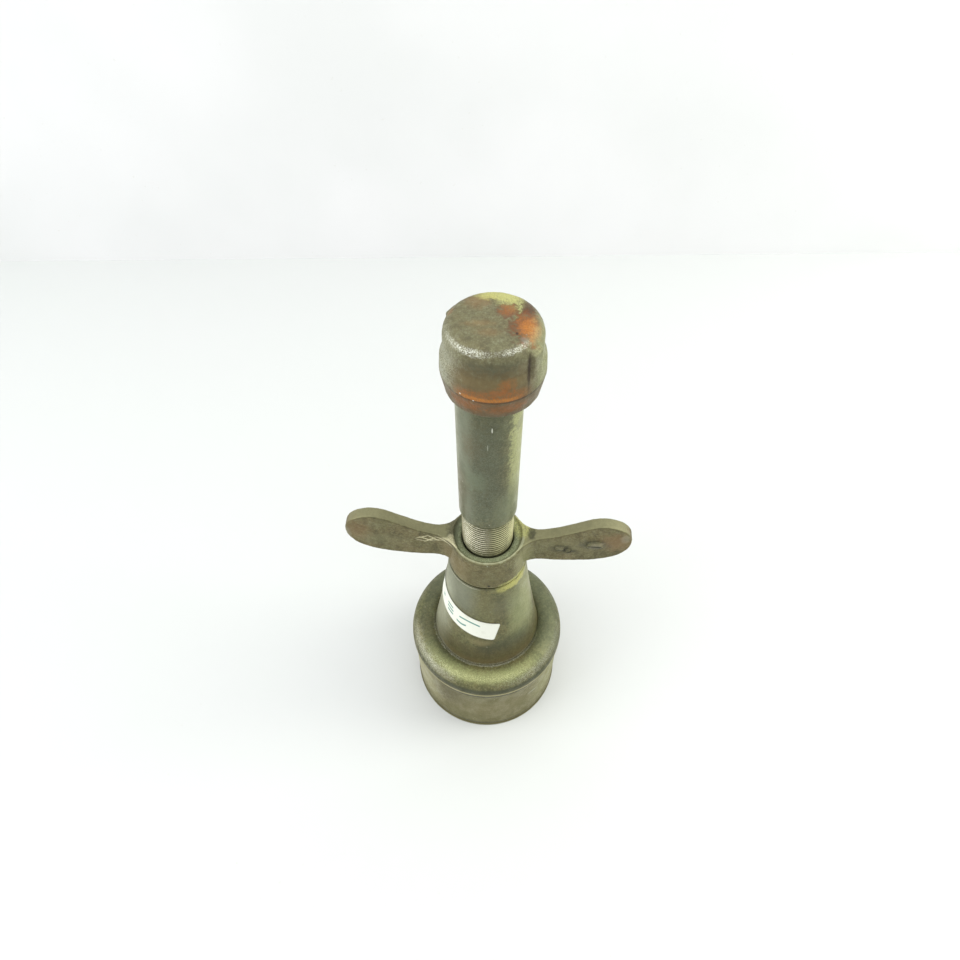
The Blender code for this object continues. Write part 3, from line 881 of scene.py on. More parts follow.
@dataclass
class SwivelCoupling:
    """Hose coupling at the foot: the shouldered bell, its slotted plug, its balls and its gasket."""

    rim_radius: float = 0.0370
    rim_height: float = 0.0015
    wall_radius: float = 0.0366
    lip_radius: float = 0.0374
    lip_height: float = 0.0424
    shoulder_height: float = 0.0440
    crest: tuple[float, float] = (0.0294, 0.0525)
    bore_radius: float = 0.0265
    mouth_height: float = 0.0494
    lip_bore: float = 0.0254
    mouth_arc: tuple[float, float] = (38.0, 82.0)
    underside: float = 0.0320
    flange_seat: tuple[float, float] = (0.0283, 0.0265)
    groove_radius: float = 0.0306
    lead_in: float = 0.0310
    thread_crest: float = 0.0284
    thread_root: float = 0.0300
    thread_span: tuple[float, float] = (0.0030, 0.0218)
    thread_turns: int = 6
    race: tuple[float, float] = BALL_RACE
    race_groove: float = BALL_GROOVE
    edge_softness: float = 0.00035
    drill_gap: float = 0.0003
    drill_depth: float = 0.013
    drill_reach: float = 0.0095
    plug_radius: float = 0.0041
    plug_face: float = 0.0362
    plug_depth: float = 0.0053
    slot_size: float = 0.0032
    plug_edge: float = 0.00022

    def build(self) -> None:
        """Builds and dresses the coupling's pieces."""
        shell = self.bell()
        place_piece(shell, self.bell_finish().build(), Body.COUPLING, "swivel_bell")
        plug = self.plug()
        brass = AgedMetal("plug_brass_look", dark=(0.07, 0.055, 0.022), mid=(0.22, 0.18, 0.08),
                          warm=(0.27, 0.19, 0.08), pale=(0.45, 0.42, 0.24), metallic=0.55,
                          roughness=(0.34, 0.55), mottle=160.0, grain=Grain.CAST, grain_depth=0.00008)
        place_piece(plug, brass.build(), Body.COUPLING, "ball_plug")
        steel = AgedMetal("ball_steel_look", dark=(0.14, 0.14, 0.14), mid=(0.40, 0.40, 0.41),
                          warm=(0.36, 0.33, 0.28), pale=(0.62, 0.62, 0.62), metallic=0.9,
                          roughness=(0.2, 0.36), mottle=240.0, grain_depth=0.00003).build()
        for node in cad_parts:
            if node.startswith("swivel_ball_"):
                dress_node(node, steel)
        rubber = SoftSeal("gasket_rubber_look", (0.018, 0.018, 0.018), (0.11, 0.105, 0.09))
        dress_node("hose_gasket", rubber.build())

    def bell(self) -> bpy.types.Object:
        """Turns the bell from its profile and drills the ball hole.

        Returns:
            The bell.
        """
        crest_r, crest_z = self.crest
        low, high = self.thread_span
        pitch = (high - low) / self.thread_turns
        outer = Profile().curve((crest_r, self.shoulder_height),
                                (self.lip_radius - crest_r, crest_z - self.shoulder_height), 90, 0, 14)
        outer.corner(self.lip_radius, self.lip_height).corner(self.wall_radius, self.lip_height - 0.0006)
        outer.corner(self.wall_radius, self.rim_height + 0.0003).corner(self.rim_radius, self.rim_height)
        outer.corner(self.rim_radius, 0.0).corner(self.lead_in, 0.0).corner(self.lead_in, low - 0.0008)
        outer.corner(self.thread_root, low)
        for turn in range(self.thread_turns):
            foot = low + turn * pitch
            outer.corner(self.thread_root, foot + 0.25 * pitch)
            outer.corner(self.thread_crest, foot + 0.62 * pitch).corner(self.thread_crest,
                                                                        foot + 0.80 * pitch)
        outer.corner(self.groove_radius, high).corner(self.groove_radius, self.flange_seat[1] - 0.0002)
        outer.corner(*self.flange_seat).corner(self.flange_seat[0], self.underside)
        outer.corner(self.bore_radius, self.underside)
        outer.curve(self.race, (self.race_groove, self.race_groove), -87, 87, 10)
        outer.corner(self.bore_radius, self.mouth_height - 0.0012)
        inner_start, inner_end = self.mouth_arc
        inner_reach = (self.lip_bore - crest_r) / math.cos(math.radians(inner_start))
        outer.curve((crest_r, self.mouth_height), (inner_reach, crest_z - self.mouth_height),
                    inner_start, inner_end, 7)
        shell = Lathe(160).turn("bell_shell", outer.softened(self.edge_softness, True), True)
        bpy.ops.object.select_all(action="DESELECT")
        bpy.ops.mesh.primitive_cylinder_add(vertices=48, radius=self.plug_radius + self.drill_gap,
                                            depth=self.drill_depth,
                                            location=(0.0, self.race[0] + self.drill_reach, self.race[1]),
                                            rotation=(math.pi / 2, 0.0, 0.0))
        drill = bpy.context.object
        settle(drill)
        apply_boolean(shell, "DIFFERENCE", drill)
        shade(shell)
        return shell

    def plug(self) -> bpy.types.Object:
        """Makes the screw plug, with a rounded rim and a slot.

        Returns:
            The plug.
        """
        middle = self.plug_face - self.plug_depth / 2
        bpy.ops.object.select_all(action="DESELECT")
        bpy.ops.mesh.primitive_cylinder_add(vertices=64, radius=self.plug_radius, depth=self.plug_depth,
                                            location=(0.0, middle, self.race[1]),
                                            rotation=(math.pi / 2, 0.0, 0.0))
        plug = bpy.context.object
        plug.name = "slotted_plug"
        settle(plug)
        bpy.ops.object.select_all(action="DESELECT")
        bpy.ops.mesh.primitive_cube_add(size=self.slot_size, location=(0.0, self.plug_face, self.race[1]))
        slot = bpy.context.object
        bpy.ops.transform.resize(value=(5.0, 1.0, 0.4))
        settle(slot)
        apply_boolean(plug, "DIFFERENCE", slot)
        only(plug)
        rim = plug.modifiers.new("rim", "BEVEL")
        rim.width = self.plug_edge
        rim.segments = 3
        rim.limit_method = "ANGLE"
        bpy.ops.object.modifier_apply(modifier=rim.name)
        tidy_shell(plug)
        shade(plug)
        return plug

    def bell_finish(self) -> AgedMetal:
        """Cast shoulder over a machined wall, with a painted highlight and painted glints on the shoulder, a
        painted highlight line and painted shade at the lip, painted reflections down the wall's sides, and
        darker at the rim.

        Returns:
            The finish.
        """
        shoulder_highlight = (0.25, 0.275, 0.115)
        shoulder_glint = (0.32, 0.325, 0.25)
        soot_and_shade = (0.030, 0.030, 0.018)
        umber = (0.165, 0.146, 0.056)
        glint = (0.66, 0.67, 0.55)
        marks = (
            Ring(umber, 0.0368, 0.0215, 0.003, 0.0235, strength=0.60, ragged=0.12, soft=0.15),
            Ring((0.060, 0.068, 0.040), 0.0296, 0.0510, 0.0036, 0.0034, 178.0, 62.0, 0.70, speckle=0.5),
            Ring((0.085, 0.105, 0.065), 0.0300, 0.0500, 0.007, 0.006, 56.0, 96.0, 0.6, speckle=0.35),
            # Painted highlight on the shoulder's front, yellow-green, with a paler painted core.
            Ring(shoulder_highlight, 0.0318, 0.0515, 0.0032, 0.0030, -96.0, 46.0, 0.85, soft=0.6, speckle=0.55,
                 feather=30.0),
            Ring((0.40, 0.42, 0.20), 0.0326, 0.0510, 0.0013, 0.0020, -94.0, 34.0, 0.75, soft=0.7,
                 speckle=0.85),
            # Painted glints on the shoulder's left and right.
            Ring(shoulder_glint, 0.0350, 0.0490, 0.0014, 0.0020, -148.0, 18.0, 0.75, soft=0.6, speckle=0.65),
            Ring(shoulder_glint, 0.0350, 0.0490, 0.0014, 0.0020, -38.0, 22.0, 0.45, soft=0.6, speckle=0.9),
            # Painted shade: a dark band on the shoulder's front above the lip.
            Ring((0.040, 0.045, 0.025), 0.0371, 0.0460, 0.0016, 0.0017, -90.0, 78.0, 0.85, soft=0.5,
                 ragged=0.35),
            # Painted highlight: a thin bright line along the lip.
            Ring((0.42, 0.38, 0.19), 0.0374, 0.0432, 0.0007, 0.00055, strength=0.85, soft=0.3, ragged=0.2),
            # Painted shade: a dark line under the lip.
            Ring(soot_and_shade, 0.0366, 0.0399, 0.0007, 0.0011, strength=0.9, soft=0.4, ragged=0.2),
            Ring((0.070, 0.058, 0.030), 0.0368, 0.0300, 0.002, 0.009, -130.0, 14.0, 0.55, soft=0.6,
                 ragged=1.0),
            # Painted reflections: paler bands down the wall's left and right sides.
            Ring((0.42, 0.40, 0.24), 0.0368, 0.0260, 0.002, 0.0150, -160.0, 20.0, 0.75, soft=0.6, ragged=0.8),
            Ring((0.29, 0.29, 0.135), 0.0368, 0.0260, 0.002, 0.0150, -24.0, 16.0, 0.62, soft=0.6, ragged=0.8),
            Ring((0.19, 0.165, 0.068), 0.0368, 0.0240, 0.002, 0.0100, -86.0, 26.0, 0.5, soft=0.8, ragged=0.8),
            Ring((0.045, 0.040, 0.022), 0.0368, 0.0032, 0.001, 0.0006, -114.0, 30.0, 0.85, ragged=0.5),
            Ring((0.050, 0.045, 0.025), 0.0368, 0.0034, 0.001, 0.0005, -52.0, 24.0, 0.8, ragged=0.5),
            Ring((0.060, 0.055, 0.030), 0.0368, 0.0018, 0.001, 0.0004, strength=0.6, ragged=0.4),
            Ring((0.44, 0.45, 0.37), 0.0259, 0.0514, 0.0009, 0.0008, -104.0, 60.0, 0.8, ragged=1.3,
                 speckle=0.8, feather=40.0),
            # Painted glints on the shoulder's left and right.
            Ring(glint, 0.0346, 0.0494, 0.0024, 0.0024, -146.0, 22.0, 0.38, soft=0.8, ragged=2.4,
                 speckle=1.0),
            Ring(glint, 0.0346, 0.0494, 0.0022, 0.0022, -56.0, 16.0, 0.18, soft=0.8, ragged=2.4, speckle=1.0),
            Patch((0.40, 0.41, 0.34), (0.0235, -0.0290, 0.0270), (0.003, 0.003, 0.0009), strength=0.55),
            Patch(soot_and_shade, (0.0325, -0.0180, 0.0400), (0.0008, 0.002, 0.0008), strength=0.7),
        )
        return AgedMetal("bell_bronze_look", dark=(0.052, 0.052, 0.024), mid=(0.132, 0.132, 0.052),
                         warm=(0.150, 0.130, 0.052), pale=(0.27, 0.285, 0.145), metallic=0.38,
                         roughness=(0.34, 0.58), mottle=62.0, grain_depth=0.00026, pore_size=1050.0,
                         wear=0.45, marks=marks)


@dataclass
class ConeWaterway:
    """Tapered body between the coupling and the nut, with the label that is stuck round it."""

    foot: tuple[float, float] = (0.0257, 0.0495)
    top: tuple[float, float] = (0.0167, 0.1100)
    hollow: float = 0.0007
    recess: tuple[float, float] = (0.0146, 0.0014)
    shank_radius: float = 0.0262
    flange: tuple[float, float] = (0.0280, 0.0265)
    underside: float = 0.0317
    waterway: tuple[float, float, float] = (0.0190, 0.0450, 0.0660)
    chamber: tuple[float, float] = (0.0125, 0.1003)
    neck_bore: float = 0.0109
    side_steps: int = 24
    edge_softness: float = 0.0003
    race: tuple[float, float] = BALL_RACE
    race_groove: float = BALL_GROOVE
    label_start: tuple[float, float] = (math.radians(-77.8), 0.0778)
    label_size: tuple[float, float] = (0.0440, 0.0122)
    label_slope: float = math.radians(15.0)
    label_bow: float = 3.5
    label_lift: float = 0.00012
    label_thickness: float = 0.00012
    label_curl: float = 0.00012
    label_flat_share: float = 0.86
    label_grid: tuple[int, int] = (88, 24)
    label_corner: float = 0.0011

    def build(self) -> None:
        """Builds and dresses the cone and its label."""
        place_piece(self.cone(), self.cone_finish().build(), Body.CONE, "cone_body")
        place_piece(self.label(), LabelPaper(self.label_size).build(), Body.CONE, "paper_label")

    def radius_at(self, height: float) -> float:
        """Outer radius of the cone at a height.

        Args:
            height: Height up the axis.

        Returns:
            The radius.
        """
        share = (height - self.foot[1]) / (self.top[1] - self.foot[1])
        straight = self.foot[0] + (self.top[0] - self.foot[0]) * share
        return straight - self.hollow * 4.0 * share * (1.0 - share)

    def cone(self) -> bpy.types.Object:
        """Turns the cone body with its bores.

        Returns:
            The cone body.
        """
        top_z = self.top[1]
        recess_r, recess_depth = self.recess
        profile = Profile().corner(recess_r, top_z)
        for step in range(self.side_steps + 1):
            height = top_z + (self.foot[1] - top_z) * step / self.side_steps
            profile.corner(self.radius_at(height), height)
        profile.corner(self.shank_radius - 0.0006, self.foot[1] - 0.0008)
        profile.curve(self.race, (self.race_groove, self.race_groove), 93, 267, 10)
        profile.corner(self.shank_radius, self.underside).corner(self.flange[0], self.underside)
        profile.corner(*self.flange)
        profile.corner(self.waterway[0], self.flange[1]).corner(self.waterway[0], self.waterway[1])
        profile.corner(self.chamber[0], self.waterway[2]).corner(*self.chamber)
        profile.corner(self.neck_bore, self.chamber[1]).corner(self.neck_bore, top_z - recess_depth)
        profile.corner(recess_r, top_z - recess_depth)
        cone = Lathe(144).turn("cone_shell", profile.softened(self.edge_softness, True), True)
        shade(cone)
        return cone

    def on_cone(self, along: float, across: float, lift: float) -> Vector:
        """Point of the label on the cone's side.

        Args:
            along: Distance round the label from its near end.
            across: Distance up from its middle line.
            lift: Distance off the cone.

        Returns:
            The point.
        """
        azimuth, height = self.label_start
        slant = math.atan2(self.foot[0] - self.top[0], self.top[1] - self.foot[1])
        reach = self.radius_at(height) / math.sin(slant)
        cos, sin = math.cos(self.label_slope), math.sin(self.label_slope)
        round_cone = along * cos - across * sin
        rise = along * sin + across * cos + along * along * self.label_bow
        swing = math.atan2(round_cone, reach - rise)
        distance = math.hypot(round_cone, reach - rise)
        z = height + (reach - distance) * math.cos(slant)
        turn = azimuth - swing / math.sin(slant)
        radius = self.radius_at(z) + self.label_lift + lift
        return Vector((radius * math.cos(turn), radius * math.sin(turn), z))

    def label(self) -> bpy.types.Object:
        """Cuts the label with round corners, maps it, and wraps it on the cone.

        Returns:
            The label.
        """
        length, width = self.label_size
        bpy.ops.object.select_all(action="DESELECT")
        columns, rows = self.label_grid
        bpy.ops.mesh.primitive_grid_add(x_subdivisions=columns, y_subdivisions=rows, size=1.0)
        label = bpy.context.object
        label.name = "stuck_label"
        bpy.ops.transform.resize(value=(length, width, 1.0))
        settle(label)
        chart = label.data.uv_layers.new(name="label")
        for loop in label.data.loops:
            flat = label.data.vertices[loop.vertex_index].co
            chart.data[loop.index].uv = (0.5 - flat.x / length, 0.5 + flat.y / width)
        half_x, half_y, corner = length / 2, width / 2, self.label_corner
        for vertex in label.data.vertices:
            flat = vertex.co.copy()
            over_x = max(abs(flat.x) - (half_x - corner), 0.0)
            over_y = max(abs(flat.y) - (half_y - corner), 0.0)
            if over_x > 0.0 and over_y > 0.0:
                pull = max(over_x, over_y) / math.hypot(over_x, over_y)
                flat.x = math.copysign(half_x - corner + over_x * pull, flat.x)
                flat.y = math.copysign(half_y - corner + over_y * pull, flat.y)
            edge = max(abs(flat.x) / half_x, abs(flat.y) / half_y)
            curl = self.label_curl * max(edge - self.label_flat_share, 0.0) / (1.0 - self.label_flat_share)
            vertex.co = self.on_cone(flat.x + half_x, flat.y, curl)
        tidy_shell(label)
        middle = label.data.polygons[len(label.data.polygons) // 2]
        if middle.normal.xy.dot(middle.center.xy) < 0.0:
            only(label)
            bpy.ops.object.mode_set(mode="EDIT")
            bpy.ops.mesh.select_all(action="SELECT")
            bpy.ops.mesh.flip_normals()
            bpy.ops.object.mode_set(mode="OBJECT")
        only(label)
        paper = label.modifiers.new("paper", "SOLIDIFY")
        paper.thickness = self.label_thickness
        paper.offset = 1.0
        bpy.ops.object.modifier_apply(modifier=paper.name)
        shade(label, 50.0)
        return label

    def cone_finish(self) -> AgedMetal:
        """Smooth aged bronze with a green painted highlight down its right and a grey painted reflection down
        its left, and a yellow tint at its top seam that is partly oxide and partly a painted reflection.

        Returns:
            The finish.
        """
        right_highlight_green = (0.25, 0.275, 0.125)
        straw_and_reflection = (0.52, 0.50, 0.15)
        marks = (
            Ring((0.19, 0.205, 0.150), 0.0180, 0.1010, 0.006, 0.0120, -140.0, 26.0, 0.75, soft=0.6,
                 ragged=0.7),
            # Painted reflection: a pale grey band down the left side.
            Ring((0.42, 0.43, 0.32), 0.0240, 0.0800, 0.012, 0.0300, -176.0, 24.0, 0.7, soft=0.5),
            Ring((0.19, 0.175, 0.085), 0.0200, 0.0960, 0.008, 0.0080, -84.0, 18.0, 0.35, soft=0.9,
                 ragged=1.0),
            Ring((0.065, 0.070, 0.045), 0.0200, 0.0960, 0.008, 0.0070, -62.0, 12.0, 0.45, soft=0.8,
                 ragged=1.0),
            # Painted highlights: green bands down the right side.
            Ring(right_highlight_green, 0.0200, 0.0860, 0.009, 0.0200, -36.0, 16.0, 0.8, soft=0.7, ragged=0.9, speckle=0.35),
            Ring((0.34, 0.35, 0.18), 0.0190, 0.0930, 0.008, 0.0150, -12.0, 16.0, 0.6, soft=0.6, speckle=0.35),
            Ring((0.085, 0.070, 0.034), 0.0240, 0.0600, 0.006, 0.0050, -84.0, 70.0, 0.55, soft=0.8,
                 ragged=1.0),
            Ring((0.040, 0.046, 0.028), 0.0240, 0.0665, 0.006, 0.0050, -68.0, 26.0, 0.55, soft=0.8,
                 ragged=1.0),
            Ring((0.16, 0.125, 0.060), 0.0250, 0.0535, 0.004, 0.0022, -86.0, 60.0, 0.6, soft=0.7, ragged=0.9),
            Patch((0.25, 0.21, 0.10), (-0.0035, -0.0230, 0.0690), (0.0050, 0.006, 0.0022), strength=0.55,
                  soft=0.8, ragged=1.0),
            Ring((0.42, 0.43, 0.35), 0.0252, 0.0518, 0.0012, 0.0008, -104.0, 64.0, 0.65, ragged=1.3,
                 speckle=0.9, feather=40.0),
            Ring((0.50, 0.50, 0.38), 0.0167, 0.1093, 0.0010, 0.0005, -132.0, 18.0, 0.8, ragged=1.2,
                 speckle=0.7),
            Ring((0.030, 0.030, 0.018), 0.0167, 0.1099, 0.0012, 0.00045, -112.0, 60.0, 0.75, ragged=0.4),
            # Yellow tint at the top seam, partly oxide and partly a painted reflection.
            Ring(straw_and_reflection, 0.0168, 0.1085, 0.0022, 0.0019, -46.0, 20.0, 0.9, soft=0.5, ragged=1.4, speckle=0.35),
        )
        return AgedMetal("cone_bronze_look", dark=(0.060, 0.062, 0.032), mid=(0.146, 0.146, 0.058),
                         warm=(0.155, 0.134, 0.054), pale=(0.24, 0.25, 0.125), metallic=0.42,
                         roughness=(0.32, 0.52), mottle=58.0, grain=Grain.UPRIGHT, grain_depth=0.00010,
                         specks=0.25, wear=0.5, marks=marks)


@dataclass
class WingLockNut:
    """Cast lock nut with two flat wings and raised marks, and the washer under it."""

    foot: tuple[float, float] = (0.0167, 0.1103)
    head: tuple[float, float] = (0.0152, 0.1278)
    half_thickness: float = 0.0026
    grime_radii: tuple[float, float] = (0.01215, 0.01068)
    grime_heights: tuple[float, float, float] = (0.1246, 0.1259, 0.1262)
    tilt: float = math.radians(-3.5)
    cell: float = 0.00042
    bump_depth: float = 0.0024
    collar_edges: tuple[float, float] = (0.0009, 0.0010)
    collar_play: float = 0.00022
    bumps: tuple[tuple[float, float, float, float, int], ...] = (
        (0.0298, 0.1232, 0.0022, 0.0013, 4),
        (0.0335, 0.1213, 0.0014, 0.0009, 12),
        (0.0440, 0.1266, 0.0036, 0.0019, 12),
    )

    def build(self) -> None:
        """Builds and dresses the nut and its washer."""
        place_piece(self.nut(), self.nut_finish().build(), Body.NUT, "wing_nut")
        brass = AgedMetal("washer_brass_look", dark=(0.08, 0.065, 0.03), mid=(0.25, 0.20, 0.09),
                          warm=(0.28, 0.20, 0.085), pale=(0.45, 0.42, 0.25), metallic=0.6,
                          roughness=(0.32, 0.5), mottle=180.0, grain=Grain.ROUND, grain_depth=0.00004)
        dress_node("lock_washer", brass.build())

    def nut(self) -> bpy.types.Object:
        """Takes the nut's rough shape, adds the raised marks and recasts it with soft edges.

        Returns:
            The nut.
        """
        nut = copy_of_node("wing_nut", "cast_wing_nut")
        outer_r, inner_r = self.grime_radii
        foot_z, inner_z, outer_z = self.grime_heights
        grime = Profile().corner(outer_r, outer_z).corner(outer_r, foot_z).corner(inner_r, foot_z)
        grime.corner(inner_r, inner_z)
        apply_boolean(nut, "UNION", Lathe(96).turn("grime_ring", grime.points, True))
        for along, height, half_width, half_height, sides in self.bumps:
            apply_boolean(nut, "UNION", self.raised_mark(along, height, half_width, half_height, sides))
        recast(nut, self.cell, CAST_ROUNDS, CAST_PITS)
        self.true_collar(nut)
        return nut

    def raised_mark(self, along: float, height: float, half_width: float, half_height: float,
                    sides: int) -> bpy.types.Object:
        """Makes a low plain boss on the front face of the right wing.

        Args:
            along: Distance from the axis.
            height: Height up the axis.
            half_width: Half its width.
            half_height: Half its height.
            sides: Number of sides.

        Returns:
            The boss.
        """
        bpy.ops.object.select_all(action="DESELECT")
        bpy.ops.mesh.primitive_cylinder_add(vertices=sides, radius=1.0, depth=1.0,
                                            rotation=(math.pi / 2, 0.0, 0.0))
        boss = bpy.context.object
        bpy.ops.object.transform_apply(location=False, rotation=True, scale=False)
        bpy.ops.transform.resize(value=(half_width, self.bump_depth, half_height))
        settle(boss)
        only(boss)
        bpy.ops.object.mode_set(mode="EDIT")
        bpy.ops.mesh.select_all(action="SELECT")
        bpy.ops.transform.translate(value=(along, -self.half_thickness, height))
        bpy.ops.object.mode_set(mode="OBJECT")
        boss.data.transform(Matrix.Rotation(self.tilt, 4, "Z"))
        return boss

    def true_collar(self, nut: bpy.types.Object) -> None:
        """Brings the collar's side back to a true cone after recasting.

        Args:
            nut: The nut.
        """
        foot_r, foot_z = self.foot
        head_r, head_z = self.head
        foot_edge, head_edge = self.collar_edges
        for vertex in nut.data.vertices:
            point = vertex.co
            if not foot_z + foot_edge < point.z < head_z - head_edge:
                continue
            wanted = foot_r + (head_r - foot_r) * (point.z - foot_z) / (head_z - foot_z)
            radius = math.hypot(point.x, point.y)
            if abs(radius - wanted) < self.collar_play:
                point.x *= wanted / radius
                point.y *= wanted / radius

    def nut_finish(self) -> AgedMetal:
        """Brown cast bronze with rusty wing tips, pale scratches, a grimy mouth, a yellow tint at the seam
        that is partly oxide and partly a painted reflection, painted shade and highlights round the raised
        marks, and painted light on faces that look up.

        Returns:
            The finish.
        """
        rust = (0.22, 0.135, 0.062)
        cream = (0.66, 0.62, 0.40)
        straw_and_reflection = (0.52, 0.52, 0.18)
        soot_and_shade = (0.028, 0.028, 0.017)
        marks = (
            Patch(rust, (0.0520, -0.0057, 0.1290), (0.006, 0.006, 0.0055), strength=0.65, ragged=0.9,
                  soft=0.6),
            Patch(rust, (-0.0540, 0.0005, 0.1290), (0.005, 0.006, 0.0060), strength=0.50, ragged=0.9,
                  soft=0.6),
            Patch((0.24, 0.23, 0.12), (-0.0440, 0.0003, 0.1240), (0.011, 0.004, 0.0030), strength=0.3,
                  soft=0.8),
            Patch((0.075, 0.068, 0.035), (0.0300, -0.0050, 0.1222), (0.006, 0.003, 0.0032), strength=0.2,
                  soft=0.7),
            Patch((0.23, 0.22, 0.115), (0.0320, -0.0050, 0.1245), (0.0130, 0.004, 0.0045), strength=0.4,
                  soft=0.8),
            # Painted shade round the raised marks, painted highlights along their tops, and a painted dark
            # hollow in the oval one.
            Patch(soot_and_shade, (0.0302, -0.0050, 0.1228), (0.0038, 0.003, 0.0022), strength=0.80, ragged=1.1,
                  soft=0.6),
            Patch((0.20, 0.19, 0.11), (0.0300, -0.0056, 0.1237), (0.0022, 0.003, 0.0006), strength=0.75,
                  ragged=1.0, speckle=0.5),
            Patch(soot_and_shade, (0.0340, -0.0050, 0.1208), (0.0026, 0.003, 0.0012), strength=0.80, ragged=1.1,
                  soft=0.6),
            Patch(soot_and_shade, (0.0434, -0.0056, 0.1262), (0.0056, 0.004, 0.0032), strength=0.75, ragged=1.1,
                  soft=0.6),
            Patch((0.14, 0.125, 0.070), (0.0446, -0.0062, 0.1262), (0.0034, 0.004, 0.0018), strength=0.8,
                  ragged=0.8),
            Patch((0.25, 0.23, 0.15), (0.0446, -0.0064, 0.1277), (0.0030, 0.004, 0.0006), strength=0.75,
                  ragged=1.0, speckle=0.5),
            Patch(soot_and_shade, (0.0444, -0.0066, 0.1265), (0.0020, 0.004, 0.0007), strength=0.85, ragged=0.9),
            Patch((0.34, 0.34, 0.26), (0.0556, -0.0060, 0.1315), (0.0016, 0.003, 0.0024), strength=0.35,
                  soft=0.7),
            Patch((0.29, 0.29, 0.21), (-0.0584, 0.0005, 0.1270), (0.0016, 0.004, 0.0040), strength=0.5,
                  soft=0.7),
            Ring((0.165, 0.200, 0.110), 0.0122, 0.1262, 0.0024, 0.0016, strength=0.92, speckle=0.3),
            Ring((0.44, 0.48, 0.30), 0.0124, 0.1262, 0.0022, 0.0014, strength=0.7, ragged=1.2, speckle=0.95),
            Ring((0.38, 0.40, 0.27), 0.0148, 0.1279, 0.0006, 0.0006, -80.0, 80.0, 0.8, ragged=0.7,
                 speckle=0.3),
            Ring(soot_and_shade, 0.0150, 0.1268, 0.0030, 0.0016, 168.0, 30.0, 0.75, ragged=0.9, speckle=0.5),
            Ring((0.19, 0.145, 0.062), 0.0160, 0.1180, 0.003, 0.0065, -148.0, 24.0, 0.6, soft=0.6,
                 ragged=0.9),
            Ring((0.105, 0.095, 0.042), 0.0160, 0.1170, 0.003, 0.0050, -95.0, 28.0, 0.4, soft=0.7,
                 ragged=0.9),
            Ring((0.26, 0.26, 0.115), 0.0160, 0.1180, 0.003, 0.0080, -20.0, 14.0, 0.6, soft=0.6, ragged=0.9),
            # Yellow tint on the collar's top, partly oxide and partly a painted reflection.
            Patch(straw_and_reflection, (0.0145, 0.0040, 0.1276), (0.0048, 0.0062, 0.0030), strength=0.85, speckle=0.7),
            Patch(soot_and_shade, (0.0180, -0.0005, 0.1286), (0.0016, 0.0030, 0.0014), strength=0.7, ragged=1.0),
            # Yellow tint at the collar's foot, partly oxide and partly a painted reflection.
            Ring(straw_and_reflection, 0.0167, 0.1112, 0.0016, 0.0014, -44.0, 18.0, 0.85, ragged=1.4, speckle=0.45),
            Ring(soot_and_shade, 0.0167, 0.1104, 0.0012, 0.0004, strength=0.7, ragged=0.3),
            Patch((0.012, 0.011, 0.008), (0.0004, -0.0166, 0.1126), (0.0006, 0.002, 0.0005), ragged=0.3),
            Patch(cream, (-0.0272, -0.001, 0.1263), (0.0032, 0.004, 0.00028), lean=-24.0, ragged=0.5,
                  speckle=0.5),
            Patch(cream, (-0.0258, -0.001, 0.1251), (0.0036, 0.004, 0.00028), lean=28.0, ragged=0.5,
                  speckle=0.4),
            Patch(cream, (-0.0240, -0.001, 0.1246), (0.0028, 0.004, 0.00030), lean=-36.0, ragged=0.5,
                  speckle=0.3),
            Patch(cream, (-0.0226, -0.001, 0.1261), (0.0026, 0.004, 0.00028), lean=34.0, ragged=0.5,
                  speckle=0.3),
            Patch(cream, (-0.0212, -0.001, 0.1249), (0.0030, 0.004, 0.00026), lean=-16.0, ragged=0.5,
                  speckle=0.5),
            Patch(cream, (-0.0278, -0.001, 0.1238), (0.0018, 0.004, 0.00024), lean=8.0, ragged=0.5,
                  speckle=0.5),
            Patch(cream, (-0.0180, -0.003, 0.1263), (0.0040, 0.004, 0.00034), lean=12.0, ragged=0.6,
                  speckle=0.4),
            Patch(cream, (-0.0160, -0.0035, 0.1276), (0.0034, 0.0030, 0.0005), strength=0.8, speckle=0.6),
            Patch(cream, (-0.0134, -0.0062, 0.1279), (0.0022, 0.0012, 0.0005), strength=0.85, speckle=0.6),
        )
        # lit_top paints lighter colour onto faces that look up.
        return AgedMetal("nut_bronze_look", dark=(0.062, 0.056, 0.028), mid=(0.150, 0.138, 0.056),
                         warm=(0.168, 0.138, 0.058), pale=(0.25, 0.245, 0.125), metallic=0.30,
                         roughness=(0.42, 0.64), mottle=75.0, grain_depth=0.00022, pore_size=1200.0,
                         specks=0.2, wear=0.45, lit_top=(0.205, 0.200, 0.108), marks=marks)


